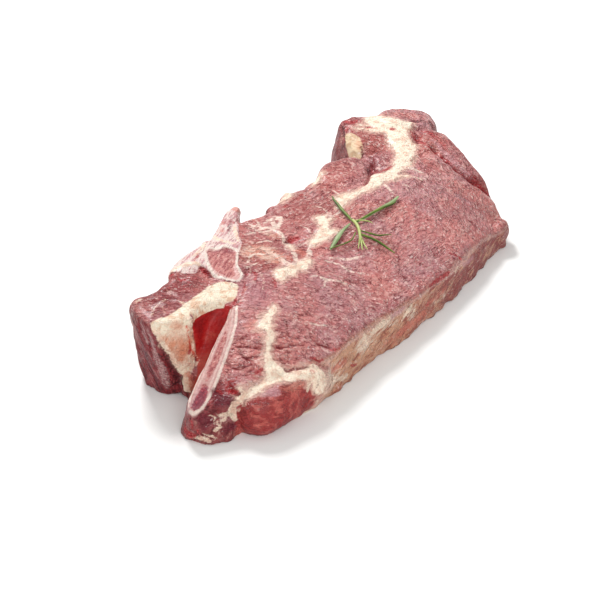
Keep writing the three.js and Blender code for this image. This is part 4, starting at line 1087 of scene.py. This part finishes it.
needles = sprig_piece("rosemary_needles", DARK_NEEDLES, 0.0021, 0.0014, 1.5)
undersides = sprig_piece("rosemary_undersides", GREY_NEEDLES, 0.0028, 0.0011, 0.9)
stalks = sprig_piece("rosemary_stalk", STALKS, 0.0020, 0.0018, 1.6)
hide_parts("rosemary_sprig")

# %% [markdown]
# ## Green of the sprig
# The upper side of a needle is dark green with a lighter midrib, and its rolled underside is grey
# green. The stalk is pale. The distance from the middle of each rod was kept while it was bent, so
# the finish can lighten the midrib without a picture.


# %% Rosemary finishes
def leaf_finish(name, dark, light, rib_tone):
    """Green that drifts between two tones and lightens along the midrib."""
    look = Sheet(name)
    mottle = look.noise(1.2, 3.0, seed=1.0)
    green = look.layers(
        dark,
        (light, look.noise(12.0, seed=2.0).ease(0.42, 0.6)),
        (rib_tone, (look.attribute("midrib") + (mottle - 0.5) * 0.6).ease(0.55, 0.95) * 0.6),
        ((96, 84, 52), look.noise(5.0, seed=3.0).ease(0.6, 0.72) * 0.5))
    return look.finish(green, 0.38 + mottle * 0.2, mottle * 0.25)


needles.data.materials.append(leaf_finish("rosemary_green", (62, 82, 22), (92, 114, 34), (138, 156, 70)))
undersides.data.materials.append(
    leaf_finish("rosemary_grey_green", (112, 134, 84), (140, 156, 112), (160, 172, 128)))
stalks.data.materials.append(
    leaf_finish("rosemary_stalk_pale", (140, 154, 72), (174, 184, 110), (196, 202, 138)))
print("sprig finished")

# %% [markdown]
# ## Stage, light and camera
# The slice is shown on a plain pale floor under soft studio light: a key lamp from the upper left
# behind, a weaker one in front, and a bright sky. The camera looks down on it from the near right.

# %% Floor and lights
SKY_STRENGTH = 0.64
FLOOR_REACH = 4.0  # metres from its middle to each edge
scene = bpy.context.scene
floor_shape = bmesh.new()
bmesh.ops.create_grid(floor_shape, x_segments=1, y_segments=1, size=FLOOR_REACH)
floor = new_piece("floor", as_mesh(floor_shape, "floor"))
floor_look = Sheet("pale_floor")
floor_tone = floor_look.noise(60.0)
floor.data.materials.append(floor_look.finish(
    floor_look.blend((238, 238, 236), (242, 242, 240), floor_tone), 0.6 + floor_tone * 0.05, 0.0))

world = bpy.data.worlds.new("bright_sky")
scene.world = world
world.use_nodes = True
sky = world.node_tree.nodes["Background"].inputs
sky["Color"].default_value = (1.0, 1.0, 1.0, 1.0)
sky["Strength"].default_value = SKY_STRENGTH


def stand(name, data, place, gaze, roll=0.0):
    """Puts a lamp or a camera at a place, turned to look along a direction."""
    holder = bpy.data.objects.new(name, data)
    scene.collection.objects.link(holder)
    holder.location = place
    holder.rotation_mode = "QUATERNION"
    holder.rotation_quaternion = gaze.to_track_quat("-Z", "Y") @ Quaternion((0, 0, 1), roll)
    return holder


for name, place, size, watts in (("key_lamp", (-0.75, 0.55, 1.0), 0.35, 17),
                                 ("front_lamp", (0.9, -0.9, 0.8), 0.9, 8)):
    light = bpy.data.lights.new(name, "AREA")
    light.shape = "SQUARE"
    light.size = size
    light.energy = watts
    stand(name, light, place, -Vector(place))
print("lamps lit, sky at", SKY_STRENGTH)

# %% Camera
AZIMUTH, ELEVATION, ROLL = math.radians(32.25), math.radians(32.13), math.radians(-0.32)
DISTANCE = 1.2862  # metres
LENS, SENSOR = 118.86, 36  # millimetres
target = Vector((-0.0089, -0.01484, 0.0))
level = math.cos(ELEVATION)
back = Vector((math.sin(AZIMUTH) * level, -math.cos(AZIMUTH) * level, math.sin(ELEVATION)))
view = bpy.data.cameras.new("camera")
view.lens = LENS
view.sensor_width = SENSOR
scene.camera = stand("camera", view, target + back * DISTANCE, -back, ROLL)
scene.view_settings.view_transform = "Standard"
print("camera at", [round(v, 3) for v in scene.camera.location])
